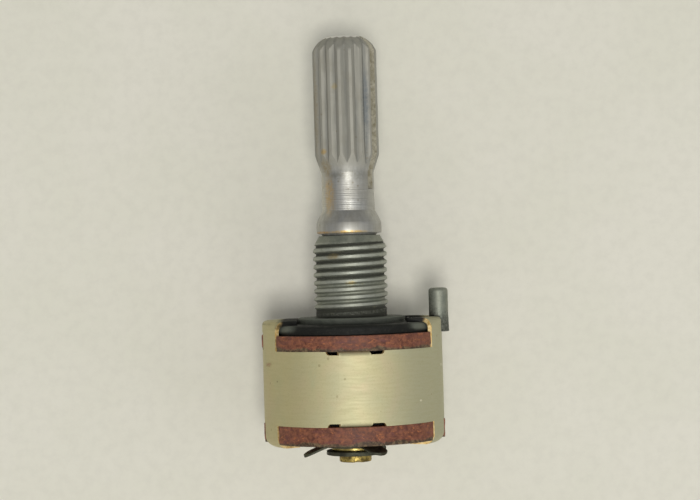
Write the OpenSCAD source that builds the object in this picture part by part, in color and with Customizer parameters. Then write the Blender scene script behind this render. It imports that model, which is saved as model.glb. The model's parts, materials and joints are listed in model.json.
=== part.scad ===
// Dual rotary potentiometer with a split knurled shaft, in millimetres.
// Each piece is drawn standing up, with the shaft along +Z, and then laid down, so that the shaft
// points along +Y and the solder lugs point down. The origin is the centre of the mounting face.

/* [Cover] */
// Outer diameter of the rolled cover
body_d = 16.8; // [16:0.1:19]
// Thickness of the steel sheet
sheet_t = 0.4; // [0.3:0.05:0.45]
// Inside radius of the crimped bends
bend_r = 0.6; // [0.4:0.05:0.7]
// Gap between the boss and the straight end of a crimped tab
tab_gap = 0.2; // [0.1:0.05:0.4]
// Half angle of the front windows, in degrees
window_half = 58; // [52:1:60]
// How far the side walls reach behind the shaft's axis
wall_back = 4.2; // [3.4:0.1:4.2]
// Half angle of the little shelf in each front window, in degrees
shelf_half = 10; // [8:0.5:11]
// How far the shelf reaches in from the inside of the cover
shelf_len = 0.85; // [0.7:0.05:1]
// Width of the broken outer edge where the shelf is bent
shelf_edge = 0.3; // [0.1:0.05:0.35]
// Width of the relief notch on each side of the shelf
relief_w = 1.4; // [1:0.1:1.6]
// Depth of the relief notch
relief_h = 0.35; // [0.2:0.05:0.5]
// Distance from the shelf to a relief notch
relief_gap = 0.1; // [0.05:0.05:0.3]
// Width of the seam at the back of the cover
seam_w = 0.12; // [0.05:0.01:0.2]

/* [Boards] */
// Clear height between the two boards
deck_gap = 6.8; // [6.4:0.05:9]
// Thickness of the front board
front_board_t = 1.4; // [1.2:0.05:2]
// Thickness of the rear board
rear_board_t = 1.75; // [1.2:0.05:2]
// How far a board's front edge stands out of the cover
board_proud = 0.05; // [0.02:0.01:0.3]
// Width of a board's side ear
ear_w = 2.4; // [1.6:0.1:3]
// How far a side ear stands out of the cover
ear_proud = 0.12; // [0.05:0.01:0.4]
// Corner cut of the terminal extension
ext_corner = 1; // [0.4:0.1:1.2]

/* [Tracks] */
// Width of the resistance track
track_w = 1.6; // [1.2:0.1:1.8]
// Width of the collector ring
ring_w = 1; // [0.9:0.05:1.2]
// Angle that the wiper runs onto a silver pad at the end of the turn, in degrees
pad_lap = 10; // [8:1:12]
// Angle that a silver pad takes up, in degrees
pad_span = 22; // [20:1:26]
// Angle from the end of the track to the lead of its pad, in degrees
lead_lap = 4; // [3:1:6]
// Thickness of the tracks, the rings and the leads
film_t = 0.1; // [0.05:0.01:0.15]
// Width of a silver lead
lead_w = 1.2; // [0.8:0.1:1.4]

/* [Terminals] */
// Distance between two solder lugs
lug_pitch = 5; // [4.5:0.1:5.3]
// Width of a solder lug
lug_w = 2.4; // [2:0.1:2.6]
// Thickness of a solder lug
lug_t = 0.4; // [0.3:0.05:0.6]
// Distance from a rivet to its lug's wire hole
lug_reach = 2.8; // [2.6:0.1:5]
// Diameter of the wire hole
wire_hole_d = 1.2; // [1:0.1:1.4]
// Diameter of a rivet's shank
rivet_d = 1.5; // [1.2:0.1:1.6]
// Diameter of the hole through a rivet
rivet_bore_d = 0.8; // [0.4:0.1:0.9]
// Diameter of a rivet's heads
rivet_head_d = 2.2; // [2:0.1:2.4]
// Thickness of a rivet's heads
rivet_head_t = 0.25; // [0.15:0.05:0.35]
// Distance from the outside of the cover to the rivets
rivet_out = 0.9; // [0.8:0.1:2]

/* [Mounting plate] */
// Outer diameter of the bushing's thread
bushing_d = 6.9; // [6.4:0.1:7.2]
// Height of the bushing above the mounting face
bushing_len = 7.6; // [5:0.1:9]
// Chamfer at the end of the bushing
bushing_chamfer = 0.4; // [0.2:0.05:0.5]
// Pitch of the bushing's thread
thread_pitch = 0.75; // [0.5:0.25:1]
// Angle between the two flanks of a thread groove, in degrees
thread_angle = 60; // [50:5:70]
// Least length of plain wall between the mounting face and the thread
thread_runout = 0.25; // [0.1:0.05:1]
// Diameter of the boss whose top is the mounting face
boss_d = 10; // [8.6:0.1:10]
// Height of the boss above the plate
boss_h = 0.55; // [0.5:0.05:0.9]
// Thickness of the plate
plate_t = 0.9; // [0.7:0.05:1.2]
// Gap between the plate's rim and the inside of the cover
plate_gap = 0.3; // [0.2:0.05:0.35]
// Diameter of the locating pin
pin_d = 1.8; // [1.5:0.1:2]
// Height of the locating pin above the mounting face
pin_h = 2.5; // [1.5:0.1:3.5]
// How far the pin's axis lies inside the outside of the cover
pin_inset = 0.24; // [0.1:0.02:0.5]
// How far the pin reaches below the plate
pin_drop = 0.15; // [0.05:0.05:0.4]
// How much wider the pin's foot is on each side, below the mounting face
pin_draft = 0.05; // [0.02:0.01:0.15]
// Chamfer at the top of the pin
pin_chamfer = 0.2; // [0.1:0.05:0.3]
// Gap on each side of the pin's foot in the cover's notch
pin_gap = 0.25; // [0.15:0.05:0.35]

/* [Knob shaft] */
// Diameter over the crests of the knurl
knurl_d = 6; // [5.6:0.1:6.4]
// Number of teeth round the knurl
teeth = 18; // [18:6:36]
// Depth of a groove of the knurl
groove_h = 0.3; // [0.2:0.05:0.5]
// How far the point of a tooth is cut back to a flat land
knurl_land = 0.05; // [0.02:0.01:0.1]
// Length of the knurl at its full diameter
knurl_len = 9.65; // [6:0.05:14]
// Length of the chamfer at the tip
tip_len = 1.4; // [0.6:0.1:2]
// Diameter of the tip's end face
tip_d = 3.3; // [2.4:0.1:4]
// Length of the cone below the knurl
knurl_cone = 1.65; // [0.8:0.05:2]
// Diameter of the neck
neck_d = 4.92; // [4.7:0.02:5]
// Length of the neck
neck_len = 3.6; // [3:0.1:6]
// Length of the cone from the neck to the collar
collar_cone = 1.1; // [0.6:0.1:1.6]
// Diameter of the collar
collar_d = 6.06; // [5.6:0.02:6.4]
// Height of the collar
collar_h = 0.9; // [0.5:0.1:1.5]
// Gap between the collar and the end of the bushing
collar_gap = 0.3; // [0.2:0.05:0.5]
// Diameter of the journal that turns in the bushing
journal_d = 4.5; // [4.3:0.05:4.7]
// Width of the slot through the tip
slot_w = 0.85; // [0.6:0.05:1]
// How far the slot reaches down into the neck
slot_neck = 1.6; // [0.5:0.1:1.8]
// Angle of the slot from the line of the locating pin, in degrees
slot_turn = -30; // [-90:5:90]
// Angle that the shaft turns each way from its middle, in degrees
turn_half = 150; // [135:1:152]

/* [Drive spindle] */
// Diameter of the spindle
spindle_d = 3.5; // [3.3:0.05:3.6]
// Thickness of the spindle across its two flats
flats_t = 2.6; // [2.4:0.05:2.8]
// How deep the spindle is pressed into the knob shaft, from the mounting face
press_len = 5.5; // [3:0.1:7]
// Diameter of the stub that turns in the rear bush
stub_d = 3; // [2.6:0.05:3.1]
// Length of the stub beyond the retaining ring
stub_out = 0.7; // [0.4:0.05:1.5]
// Diameter at the bottom of the ring's groove
groove_d = 2.3; // [2:0.05:2.4]
// Chamfer at the end of the stub
stub_chamfer = 0.15; // [0.05:0.05:0.25]

/* [Rotors] */
// Gap between a board and the face of its rotor
rotor_gap = 1.15; // [1:0.05:1.3]
// Thickness of a rotor
rotor_t = 1.2; // [0.8:0.1:1.6]
// Radius of a rotor's disc
rotor_r = 4.6; // [4.2:0.1:5]
// Diameter of a rotor's hub
hub_d = 4.2; // [4.1:0.05:4.25]
// Half angle of the lobe under the wiper, in degrees
lobe_half = 28; // [26:1:32]
// Outer radius of the spacer between the rotors
spacer_r = 2.8; // [2.4:0.1:4]
// Diameter of the studs that hold the wiper
stud_d = 0.7; // [0.5:0.05:0.8]

/* [Wipers] */
// Thickness of the wiper's spring sheet
wiper_t = 0.2; // [0.15:0.01:0.25]
// Width of one finger
finger_w = 0.35; // [0.25:0.05:0.4]
// Distance between the two fingers of an arm
finger_pitch = 0.55; // [0.5:0.05:0.7]
// Length of a finger from its root to the contact
finger_len = 1.9; // [1.6:0.1:2.1]
// Width of the wiper's base
base_w = 1; // [0.9:0.05:1.1]

/* [Rear bush and retainers] */
// Diameter of the bush's staked head, inside the housing
bush_head_d = 5.8; // [5:0.1:5.8]
// Thickness of the bush's head
bush_head_t = 0.25; // [0.15:0.05:0.35]
// Diameter of the bush in the board
bush_d = 4.4; // [4.2:0.05:4.6]
// Diameter of the bush's collar behind the board
bush_collar_d = 5.2; // [4.9:0.05:5.6]
// Thickness of the bush's collar
bush_collar_t = 0.4; // [0.3:0.05:0.8]
// Length of the bush's neck behind its collar
bush_neck_len = 0.6; // [0.5:0.05:1.4]
// Thickness of the spring washer
washer_t = 0.3; // [0.2:0.05:0.35]
// Diameter of the spring washer's ring
washer_d = 6; // [5.6:0.1:6.6]
// Radius that the washer's fingers reach
washer_reach = 4.9; // [4.2:0.1:5.4]
// Width of a washer finger
washer_finger_w = 2; // [1.4:0.1:2.2]
// Slope of the washer's fingers, in degrees
washer_slope = 25; // [10:1:28]
// Number of the washer's fingers
washer_fingers = 3; // [3:1:5]
// Outer diameter of the retaining ring
clip_d = 5.9; // [5.4:0.1:6.6]
// Thickness of the retaining ring
clip_t = 0.4; // [0.3:0.05:0.6]
// Radial width of the retaining ring's rim
clip_rim = 0.9; // [0.6:0.05:1]
// Width of the retaining ring's mouth
clip_mouth = 2.4; // [2:0.1:2.4]
// Width of a prong of the retaining ring
clip_prong_w = 0.9; // [0.6:0.1:1]

/* [Clearances] */
// Radial running clearance of the journal and the stub
run_clear = 0.04; // [0.02:0.01:0.08]
// Radial clearance of what is pressed or staked
press_clear = 0.01; // [0:0.005:0.02]
// End play between pieces that turn against each other
end_play = 0.05; // [0.03:0.01:0.15]
// Space between parts that pass without touching
part_gap = 0.3; // [0.25:0.05:0.35]
// Clearance of a board in the cover
board_clear = 0.05; // [0.02:0.01:0.1]
// Space between the stop and the shelf at the end of the turn, in degrees
stop_gap = 0.5; // [0.3:0.1:2]

/* [Hidden] */
$fn = 96;
LUGS = 3;
FAR = 60;

// Heights along the shaft
plate_z = -boss_h;
front_board_z = plate_z - plate_t;
front_deck_z = front_board_z - front_board_t;
rear_deck_z = front_deck_z - deck_gap;
rear_z = rear_deck_z - rear_board_t;
middle_z = (front_deck_z + rear_deck_z) / 2;
collar_z = bushing_len + collar_gap;
neck_z = collar_z + collar_h + collar_cone;
knurl_z = neck_z + neck_len;
tip_z = knurl_z + knurl_cone + knurl_len + tip_len;
slot_z = knurl_z - slot_neck;
journal_end_z = front_board_z + end_play;
shoulder_z = rear_deck_z + bush_head_t + 2 * end_play;
bush_end_z = rear_z - bush_collar_t - bush_neck_len;
clip_z = bush_end_z - end_play;
stub_end_z = clip_z - clip_t - stub_out;

// Form of the thread: along the bushing its crest, its root and each flank take a quarter of the pitch
thread_step = thread_pitch / 4;
thread_depth = thread_step / tan(thread_angle / 2);

// Radii from the shaft's axis
cover_r = body_d / 2;
cover_inner_r = cover_r - sheet_t;
crimp_r = cover_inner_r - bend_r;
tab_end_x = boss_d / 2 + tab_gap;
shelf_r = cover_inner_r - shelf_len;
plate_r = cover_inner_r - plate_gap;
pin_x = cover_r - pin_inset;
pin_foot_r = pin_d / 2 + pin_draft;
track_outer_r = shelf_r - part_gap / 2;
track_inner_r = track_outer_r - track_w;
track_mid_r = track_outer_r - track_w / 2;
ring_mid_r = (bush_head_d / 2 + track_inner_r) / 2;
ring_inner_r = ring_mid_r - ring_w / 2;
ring_outer_r = ring_mid_r + ring_w / 2;
stop_outer_r = cover_inner_r - part_gap;
stop_inner_r = shelf_r + end_play;
spindle_hole_r = spindle_d / 2 + press_clear;
hub_hole_r = hub_d / 2 + part_gap;

// The terminal side
rivet_y = cover_r + rivet_out;
wire_y = rivet_y + lug_reach;
lug_start_y = rivet_y - lug_w / 2;
ext_w = (LUGS - 1) * lug_pitch + lug_w + 2 * part_gap;
ext_y = rivet_y + rivet_head_d / 2 + part_gap / 2;
ext_root_y = wall_back + board_clear;
pocket_w = rivet_head_d + 2 * part_gap;
pocket_h = film_t + rivet_head_t + part_gap / 2;

// Angles in degrees: where the silver pads start and end on each side of the terminals, where the
// outer leads leave them, and the half width of the rotor's stop
pad_end = 180 - turn_half + pad_lap;
pad_start = pad_end - pad_span;
lead_turn = pad_end - lead_lap;
stop_half = 180 - turn_half - shelf_half - stop_gap;

// Turns a piece from standing to lying, with its shaft along +Y and its lugs down
module laid() {
    rotate([-90, 0, 0]) children();
}

// Puts a piece on a deck, with z = 0 at the board's inner face and +z going into the board
module on_deck(rear) {
    translate([0, 0, rear ? rear_deck_z : front_deck_z]) mirror([0, 0, rear ? 1 : 0]) children();
}

// Puts a copy on both decks
module on_both_decks() {
    for (rear = [false, true]) on_deck(rear) children();
}

// A flat wedge that takes in the angles up to half degrees on each side of the direction
module wedge(direction, half) {
    rotate(direction)
        polygon([[0, 0], [FAR, -FAR * tan(half)], [FAR, FAR * tan(half)]]);
}

// A flat piece of a ring round the shaft
module ring_sector(r_in, r_out, direction, half) {
    intersection() {
        difference() {
            circle(r = r_out);
            circle(r = r_in);
        }
        wedge(direction, half);
    }
}

// A turned tube
module tube(r_in, r_out, z_low, z_high) {
    translate([0, 0, z_low]) difference() {
        cylinder(r = r_out, h = z_high - z_low);
        translate([0, 0, -1]) cylinder(r = r_in, h = z_high - z_low + 2);
    }
}

// A flat strip from one point to another
module strip(from, to, width) {
    run = to - from;
    translate(from) rotate(atan2(run.y, run.x)) translate([0, -width / 2]) square([norm(run), width]);
}

// Zinc die-casting: plate, boss, bushing and locating pin
module mounting_plate() {
    rim = bend_r - plate_gap + part_gap / 3;
    color("dimgray") laid() difference() {
        union() {
            rotate_extrude() polygon([
                [0, front_board_z], [plate_r, front_board_z], [plate_r, plate_z - rim],
                [plate_r - rim, plate_z], [boss_d / 2, plate_z], [boss_d / 2, 0], [bushing_d / 2, 0],
                each thread_grooves(bushing_d / 2, bushing_len - bushing_chamfer),
                [bushing_d / 2, bushing_len - bushing_chamfer],
                [bushing_d / 2 - bushing_chamfer, bushing_len], [0, bushing_len]
            ]);
            translate([0, -pin_d / 2 + rim / 2, front_board_z]) cube([pin_x, pin_d - rim, plate_t]);
            locating_pin();
        }
        translate([0, 0, front_board_z - 1])
            cylinder(d = journal_d + 2 * run_clear, h = bushing_len - front_board_z + 2);
    }
}

// Corners of the thread's grooves, from the lowest up: each is a V with a flat root, and goes round the
// bushing as a ring, with a flat crest above it and the last crest ending at the chamfer
function thread_grooves(r, top) =
    let (turns = floor((top - thread_step - thread_runout) / thread_pitch), root_r = r - thread_depth)
    [for (i = [turns - 1:-1:0])
        let (high = top - thread_step - i * thread_pitch, low = high - 3 * thread_step)
        each [[r, low], [root_r, low + thread_step], [root_r, high - thread_step], [r, high]]];

// Pin that keeps the body from turning, cast with a slight draft below the mounting face
module locating_pin() {
    r = pin_d / 2;
    translate([pin_x, 0, 0]) rotate_extrude() polygon([
        [0, front_board_z - pin_drop], [pin_foot_r, front_board_z - pin_drop], [r, 0],
        [r, pin_h - pin_chamfer], [r - pin_chamfer, pin_h], [0, pin_h]
    ]);
}

// Half section of a block with its two outer corners rounded
module rounded_section(r_in, r_out, z_low, z_high, corner) {
    translate([r_in, z_low]) square([r_out - corner - r_in, z_high - z_low]);
    translate([r_in, z_low + corner]) square([r_out - r_in, z_high - z_low - 2 * corner]);
    for (z = [z_low + corner, z_high - corner]) translate([r_out - corner, z]) circle(r = corner);
}

// Turned shell of the cover, with its crimped rims all the way round
module crimped_shell() {
    rim_inner = tab_end_x - part_gap / 3;
    rotate_extrude() difference() {
        rounded_section(rim_inner, cover_r, rear_z - sheet_t, plate_z + sheet_t, bend_r + sheet_t);
        rounded_section(rim_inner - 1, cover_inner_r, rear_z, plate_z, bend_r);
    }
}

// The front window and the open back of one deck, which leave the side walls and their tabs standing
module windows() {
    linear_extrude(max(front_board_t, rear_board_t) + plate_t + 1) {
        wedge(-90, window_half);
        translate([-FAR / 2, wall_back]) square(FAR);
    }
}

// Inward tongue that a board rests on, at the middle of a front window
module shelf() {
    translate([0, 0, -sheet_t]) linear_extrude(sheet_t)
        ring_sector(shelf_r, cover_inner_r + board_clear, -90, shelf_half);
}

// What is cut from the band at one deck: the outer edge of the shelf's bend, two relief notches
// beside it where that edge ends, and the pockets that keep the leads and rivets clear of the metal
module band_cuts() {
    relief_r = (pow(relief_w / 2, 2) + pow(relief_h, 2)) / (2 * relief_h);
    relief_turn = shelf_half + asin((relief_w / 2 + relief_gap) / cover_r);
    rotate([0, 0, -90 - relief_turn]) rotate_extrude(angle = 2 * relief_turn) polygon([
        [cover_r - shelf_edge - 1, 1], [cover_r + 1, -shelf_edge - 1], [cover_r + 1, 1]
    ]);
    for (side = [-1, 1]) rotate([0, 0, -90 + side * relief_turn])
        translate([cover_inner_r - 1, 0, relief_r - relief_h]) rotate([0, 90, 0])
            cylinder(r = relief_r, h = sheet_t + 2);
    for (i = [1:LUGS]) translate([lug_x(i) - pocket_w / 2, 0, -pocket_h])
        cube([pocket_w, cover_r + 1, pocket_h + 1]);
}

function lug_x(i) = (i - (LUGS + 1) / 2) * lug_pitch;

function board_t(rear) = rear ? rear_board_t : front_board_t;

// Rolled steel cover: band, side walls with crimped tabs, shelves, ear slots, notch and seam
module cover() {
    notch_w = 2 * (pin_foot_r + pin_gap);
    notch_z = front_board_z - pin_drop - part_gap / 3;
    color("darkkhaki") laid() difference() {
        union() {
            difference() {
                crimped_shell();
                on_both_decks() windows();
                on_both_decks() band_cuts();
            }
            on_both_decks() shelf();
        }
        // straight ends of the tabs
        for (z = [rear_z - 1, plate_z - sheet_t])
            translate([-tab_end_x, -cover_r, z]) cube([2 * tab_end_x, body_d, 1 + sheet_t]);
        // slots for the boards' ears
        ear_slot(-1, front_deck_z, front_board_t);
        for (side = [-1, 1]) ear_slot(side, rear_z, rear_board_t);
        // notch for the locating pin
        translate([tab_end_x - 1, -notch_w / 2, notch_z]) cube([cover_r, notch_w, 1 - notch_z]);
        // seam
        translate([-seam_w / 2, 0, rear_z]) cube([seam_w, body_d, -rear_z]);
    }
}

module ear_slot(side, z_low, board_t) {
    width = ear_w + 2 * board_clear;
    depth = 2 * (sheet_t + 1);
    translate([side * cover_r - depth / 2, -width / 2, z_low - board_clear])
        cube([depth, width, board_t + 2 * board_clear]);
}

// Outline of a board without its holes
module board_outline(right_ear) {
    circle(r = crimp_r - board_clear);
    intersection() {
        circle(r = cover_r + board_proud);
        wedge(-90, window_half - 1);
    }
    translate([-cover_r - ear_proud, -ear_w / 2]) square([cover_r + ear_proud, ear_w]);
    if (right_ear) translate([0, -ear_w / 2]) square([cover_r + ear_proud, ear_w]);
    polygon([
        [-ext_w / 2, ext_root_y], [ext_w / 2, ext_root_y], [ext_w / 2, ext_y - ext_corner],
        [ext_w / 2 - ext_corner, ext_y], [ext_corner - ext_w / 2, ext_y], [-ext_w / 2, ext_y - ext_corner]
    ]);
}

module board(rear) {
    color("brown") laid() on_deck(rear) linear_extrude(board_t(rear)) difference() {
        board_outline(rear);
        circle(r = rear ? bush_d / 2 + press_clear : hub_hole_r);
        for (i = [1:LUGS]) translate([lug_x(i), rivet_y]) circle(d = rivet_d + 2 * press_clear);
        if (!rear) translate([pin_x, 0]) circle(r = pin_foot_r + board_clear);
    }
}

module track(rear) {
    color("black") laid() on_deck(rear) rotate([0, 0, 90 + pad_end]) rotate_extrude(angle = 360 - 2 * pad_end)
        translate([track_inner_r, -film_t]) square([track_w, film_t]);
}

module collector_ring(rear) {
    color("silver") laid() on_deck(rear) tube(ring_inner_r, ring_outer_r, -film_t, 0);
}

// Three silver leads, from the ring and the two ends of the track to the rivets
module leads(rear) {
    pad_mid = (pad_start + pad_end) / 2;
    pad_half = (pad_end - pad_start) / 2;
    color("silver") laid() on_deck(rear) translate([0, 0, -film_t]) linear_extrude(film_t) difference() {
        union() {
            difference() {
                strip([0, ring_inner_r], [0, rivet_y], lead_w);
                circle(r = ring_outer_r);
            }
            for (side = [-1, 1]) {
                ring_sector(track_inner_r, track_outer_r, 90 - side * pad_mid, pad_half);
                strip(
                    (track_outer_r - film_t) * [side * sin(lead_turn), cos(lead_turn)],
                    [side * lug_pitch, rivet_y], lead_w
                );
            }
            for (i = [1:LUGS]) translate([lug_x(i), rivet_y]) circle(d = rivet_head_d);
        }
        for (i = [1:LUGS]) translate([lug_x(i), rivet_y]) circle(d = rivet_d + 2 * press_clear);
    }
}

// Solder lug, flat on the outer face of its board
module terminal(i, rear) {
    face_z = board_t(rear);
    color("silver") laid() on_deck(rear) translate([lug_x(i), 0, face_z]) linear_extrude(lug_t) difference() {
        union() {
            translate([-lug_w / 2, lug_start_y]) square([lug_w, wire_y - lug_start_y]);
            translate([0, wire_y]) circle(d = lug_w);
        }
        translate([0, rivet_y]) circle(d = rivet_d + 2 * press_clear);
        translate([0, wire_y]) circle(d = wire_hole_d);
    }
}

// Hollow rivet through the lead, the board and the lug
module rivet(i, rear) {
    low = -film_t;
    high = board_t(rear) + lug_t;
    bore_r = rivet_bore_d / 2;
    head_r = rivet_head_d / 2;
    color("silver") laid() on_deck(rear) translate([lug_x(i), rivet_y, 0]) rotate_extrude() polygon([
        [bore_r, low - rivet_head_t], [head_r, low - rivet_head_t], [head_r, low], [rivet_d / 2, low],
        [rivet_d / 2, high], [head_r, high], [head_r, high + rivet_head_t], [bore_r, high + rivet_head_t]
    ]);
}

// Brass bush staked in the rear board
module rear_bush() {
    bore_r = stub_d / 2 + run_clear;
    collar_z = rear_z - bush_collar_t;
    head_z = rear_deck_z + bush_head_t;
    color("goldenrod") laid() rotate_extrude() polygon([
        [bore_r, bush_end_z], [bush_d / 2, bush_end_z], [bush_d / 2, collar_z], [bush_collar_d / 2, collar_z],
        [bush_collar_d / 2, rear_z], [bush_d / 2, rear_z], [bush_d / 2, rear_deck_z],
        [bush_head_d / 2, rear_deck_z], [bush_head_d / 2, head_z], [bore_r, head_z]
    ]);
}

// Dark spring washer on the bush's neck, with fingers that slope away from the board
module spring_washer() {
    washer_top_z = rear_z - bush_collar_t;
    root_r = washer_d / 2 - washer_t;
    finger_run = (washer_reach - root_r) / cos(washer_slope);
    color("darkslategray") laid() difference() {
        union() {
            tube(bush_d / 4, washer_d / 2, washer_top_z - washer_t, washer_top_z);
            for (i = [0:washer_fingers - 1]) rotate([0, 0, 180 + i * 360 / washer_fingers])
                translate([root_r, 0, washer_top_z]) rotate([0, washer_slope, 0])
                    translate([0, 0, -washer_t]) linear_extrude(washer_t) {
                        translate([0, -washer_finger_w / 2])
                            square([finger_run - washer_finger_w / 2, washer_finger_w]);
                        translate([finger_run - washer_finger_w / 2, 0]) circle(d = washer_finger_w);
                    }
        }
        translate([0, 0, bush_end_z]) cylinder(r = bush_d / 2 + press_clear, h = rear_z - bush_end_z);
    }
}

// Star outline of the knurl: each tooth has its point at a multiple of the pitch
module knurl_outline() {
    point_r = knurl_d / 2 + knurl_land;
    root_r = knurl_d / 2 - groove_h;
    polygon([
        for (i = [0:2 * teeth - 1]) (i % 2 == 0 ? point_r : root_r) * [cos(i * 180 / teeth), sin(i * 180 / teeth)]
    ]);
}

// Aluminium knob shaft: split knurl, neck, collar, and the journal that holds the spindle, turned as
// one blank, whose grooves and slot are then cut
module knob_shaft() {
    color("silver") laid() difference() {
        rotate_extrude() polygon([
            [0, journal_end_z], [journal_d / 2, journal_end_z], [journal_d / 2, collar_z],
            [collar_d / 2, collar_z], [collar_d / 2, collar_z + collar_h], [neck_d / 2, neck_z],
            [neck_d / 2, knurl_z], [knurl_d / 2, knurl_z + knurl_cone], [knurl_d / 2, tip_z - tip_len],
            [tip_d / 2, tip_z], [0, tip_z]
        ]);
        translate([0, 0, knurl_z]) linear_extrude(tip_z - knurl_z + 1) difference() {
            circle(d = knurl_d + 2);
            knurl_outline();
        }
        rotate([0, 0, slot_turn]) translate([-knurl_d, -slot_w / 2, slot_z])
            cube([2 * knurl_d, slot_w, tip_z - slot_z + 1]);
        translate([0, 0, journal_end_z - 1])
            cylinder(r = spindle_hole_r, h = press_len - journal_end_z + 1);
    }
}

// Cross section of a rotor's hole, which fits the spindle with its two flats
module flatted_hole() {
    intersection() {
        circle(r = spindle_hole_r);
        square([spindle_d + 1, flats_t + 2 * press_clear], center = true);
    }
}

// Brass spindle: round in the knob shaft, two flats through the rotors, and a grooved stub
module drive_spindle() {
    color("goldenrod") laid() difference() {
        rotate_extrude() polygon([
            [0, stub_end_z], [stub_d / 2 - stub_chamfer, stub_end_z], [stub_d / 2, stub_end_z + stub_chamfer],
            [stub_d / 2, shoulder_z], [spindle_d / 2, shoulder_z], [spindle_d / 2, press_len], [0, press_len]
        ]);
        for (turn = [0, 180]) rotate(turn) translate([-spindle_d, flats_t / 2, shoulder_z])
            cube([2 * spindle_d, spindle_d, journal_end_z - shoulder_z]);
        tube(groove_d / 2, stub_d, clip_z - clip_t - press_clear, clip_z + press_clear);
    }
}

// Rotor moulding, in deck coordinates: disc, wiper lobe, stop, hub and wiper studs
module rotor(rear) {
    face = -rotor_gap;
    hub_top = rear ? rear_deck_z - shoulder_z : journal_end_z - front_deck_z;
    color("saddlebrown") laid() on_deck(rear) difference() {
        union() {
            translate([0, 0, face - rotor_t]) linear_extrude(rotor_t) {
                circle(r = rotor_r);
                ring_sector(0.5, track_outer_r - part_gap, -90, lobe_half);
                ring_sector(0.5, stop_outer_r, 90, stop_half);
            }
            translate([0, 0, face - rotor_t]) linear_extrude(rotor_t + rotor_gap - film_t - 2 * end_play)
                ring_sector(stop_inner_r, stop_outer_r, 90, stop_half);
            translate([0, 0, face - rotor_t]) cylinder(d = hub_d, h = hub_top - face + rotor_t);
            for (r = [ring_mid_r, track_mid_r - finger_pitch])
                translate([base_x(), -r, face - 0.1]) cylinder(d = stud_d, h = wiper_t + 0.2);
        }
        translate([0, 0, face - rotor_t - 1]) linear_extrude(FAR) flatted_hole();
    }
}

function base_x() = -finger_len - base_w / 2;

// Spring wiper, in deck coordinates: a base on the rotor and two arms of two fingers each
module wiper(rear) {
    low = -rotor_gap;
    contact = -film_t - end_play;
    tail = finger_pitch;
    color("darkgoldenrod") laid() on_deck(rear) {
        translate([0, 0, low]) linear_extrude(wiper_t) difference() {
            translate([base_x() - base_w / 2, -track_mid_r - finger_pitch])
                square([base_w, track_mid_r - ring_mid_r + 2 * finger_pitch]);
            for (r = [ring_mid_r, track_mid_r - finger_pitch])
                translate([base_x(), -r]) circle(r = stud_d / 2 + press_clear);
        }
        for (r = [ring_mid_r, track_mid_r], side = [-1, 1])
            translate([0, -r + side * finger_pitch / 2, 0]) rotate([90, 0, 0])
                linear_extrude(finger_w, center = true) polygon([
                    [-finger_len - 0.1, low], [-finger_len, low], [-tail, contact - wiper_t],
                    [0, contact - wiper_t], [tail, contact - 2 * wiper_t], [tail, contact - wiper_t],
                    [0, contact], [-tail, contact], [-finger_len, low + wiper_t],
                    [-finger_len - 0.1, low + wiper_t]
                ]);
    }
}

module rotor_spacer() {
    half = deck_gap / 2 - rotor_gap - rotor_t;
    color("tan") laid() tube(spindle_hole_r, spacer_r, middle_z - half, middle_z + half);
}

// E-ring in the stub's groove: a rim with a mouth and three prongs
module retaining_ring() {
    grip_r = groove_d / 2 + press_clear;
    color("gray") laid() translate([0, 0, clip_z - clip_t]) linear_extrude(clip_t) difference() {
        union() {
            difference() {
                circle(d = clip_d);
                circle(r = clip_d / 2 - clip_rim);
                translate([0, -clip_mouth / 2]) square([clip_d, clip_mouth]);
            }
            for (turn = [90, 180, 270]) rotate(turn) translate([0, -clip_prong_w / 2])
                square([clip_d / 2 - clip_rim / 2, clip_prong_w]);
        }
        circle(r = grip_r);
    }
}

mounting_plate();
cover();
board(false);  // front_board
board(true);  // rear_board
track(false);  // front_track
track(true);  // rear_track
collector_ring(false);  // front_collector_ring
collector_ring(true);  // rear_collector_ring
leads(false);  // front_leads
leads(true);  // rear_leads
for (i = [1:LUGS]) {
    terminal(i, false);
    terminal(i, true);
    rivet(i, false);
    rivet(i, true);
}
rear_bush();
spring_washer();
knob_shaft();
drive_spindle();
rotor(false);  // front_rotor
rotor(true);  // rear_rotor
rotor_spacer();
wiper(false);  // front_wiper
wiper(true);  // rear_wiper
retaining_ring();
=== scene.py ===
"""Looks of a dual rotary potentiometer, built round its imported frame.

Every piece is worked out standing, in millimetres, with the shaft along +Z and the viewer at -Y, and
is then laid down into the frame, where the shaft points along +Y and the viewer looks down from +Z.
"""

from __future__ import annotations

import json
import logging
import math
import sys
from dataclasses import dataclass, field
from enum import Enum
from functools import partial
from typing import Callable, Sequence

import bpy
import bmesh
import numpy as np
from mathutils import Euler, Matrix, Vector
from mathutils.geometry import delaunay_2d_cdt

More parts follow.
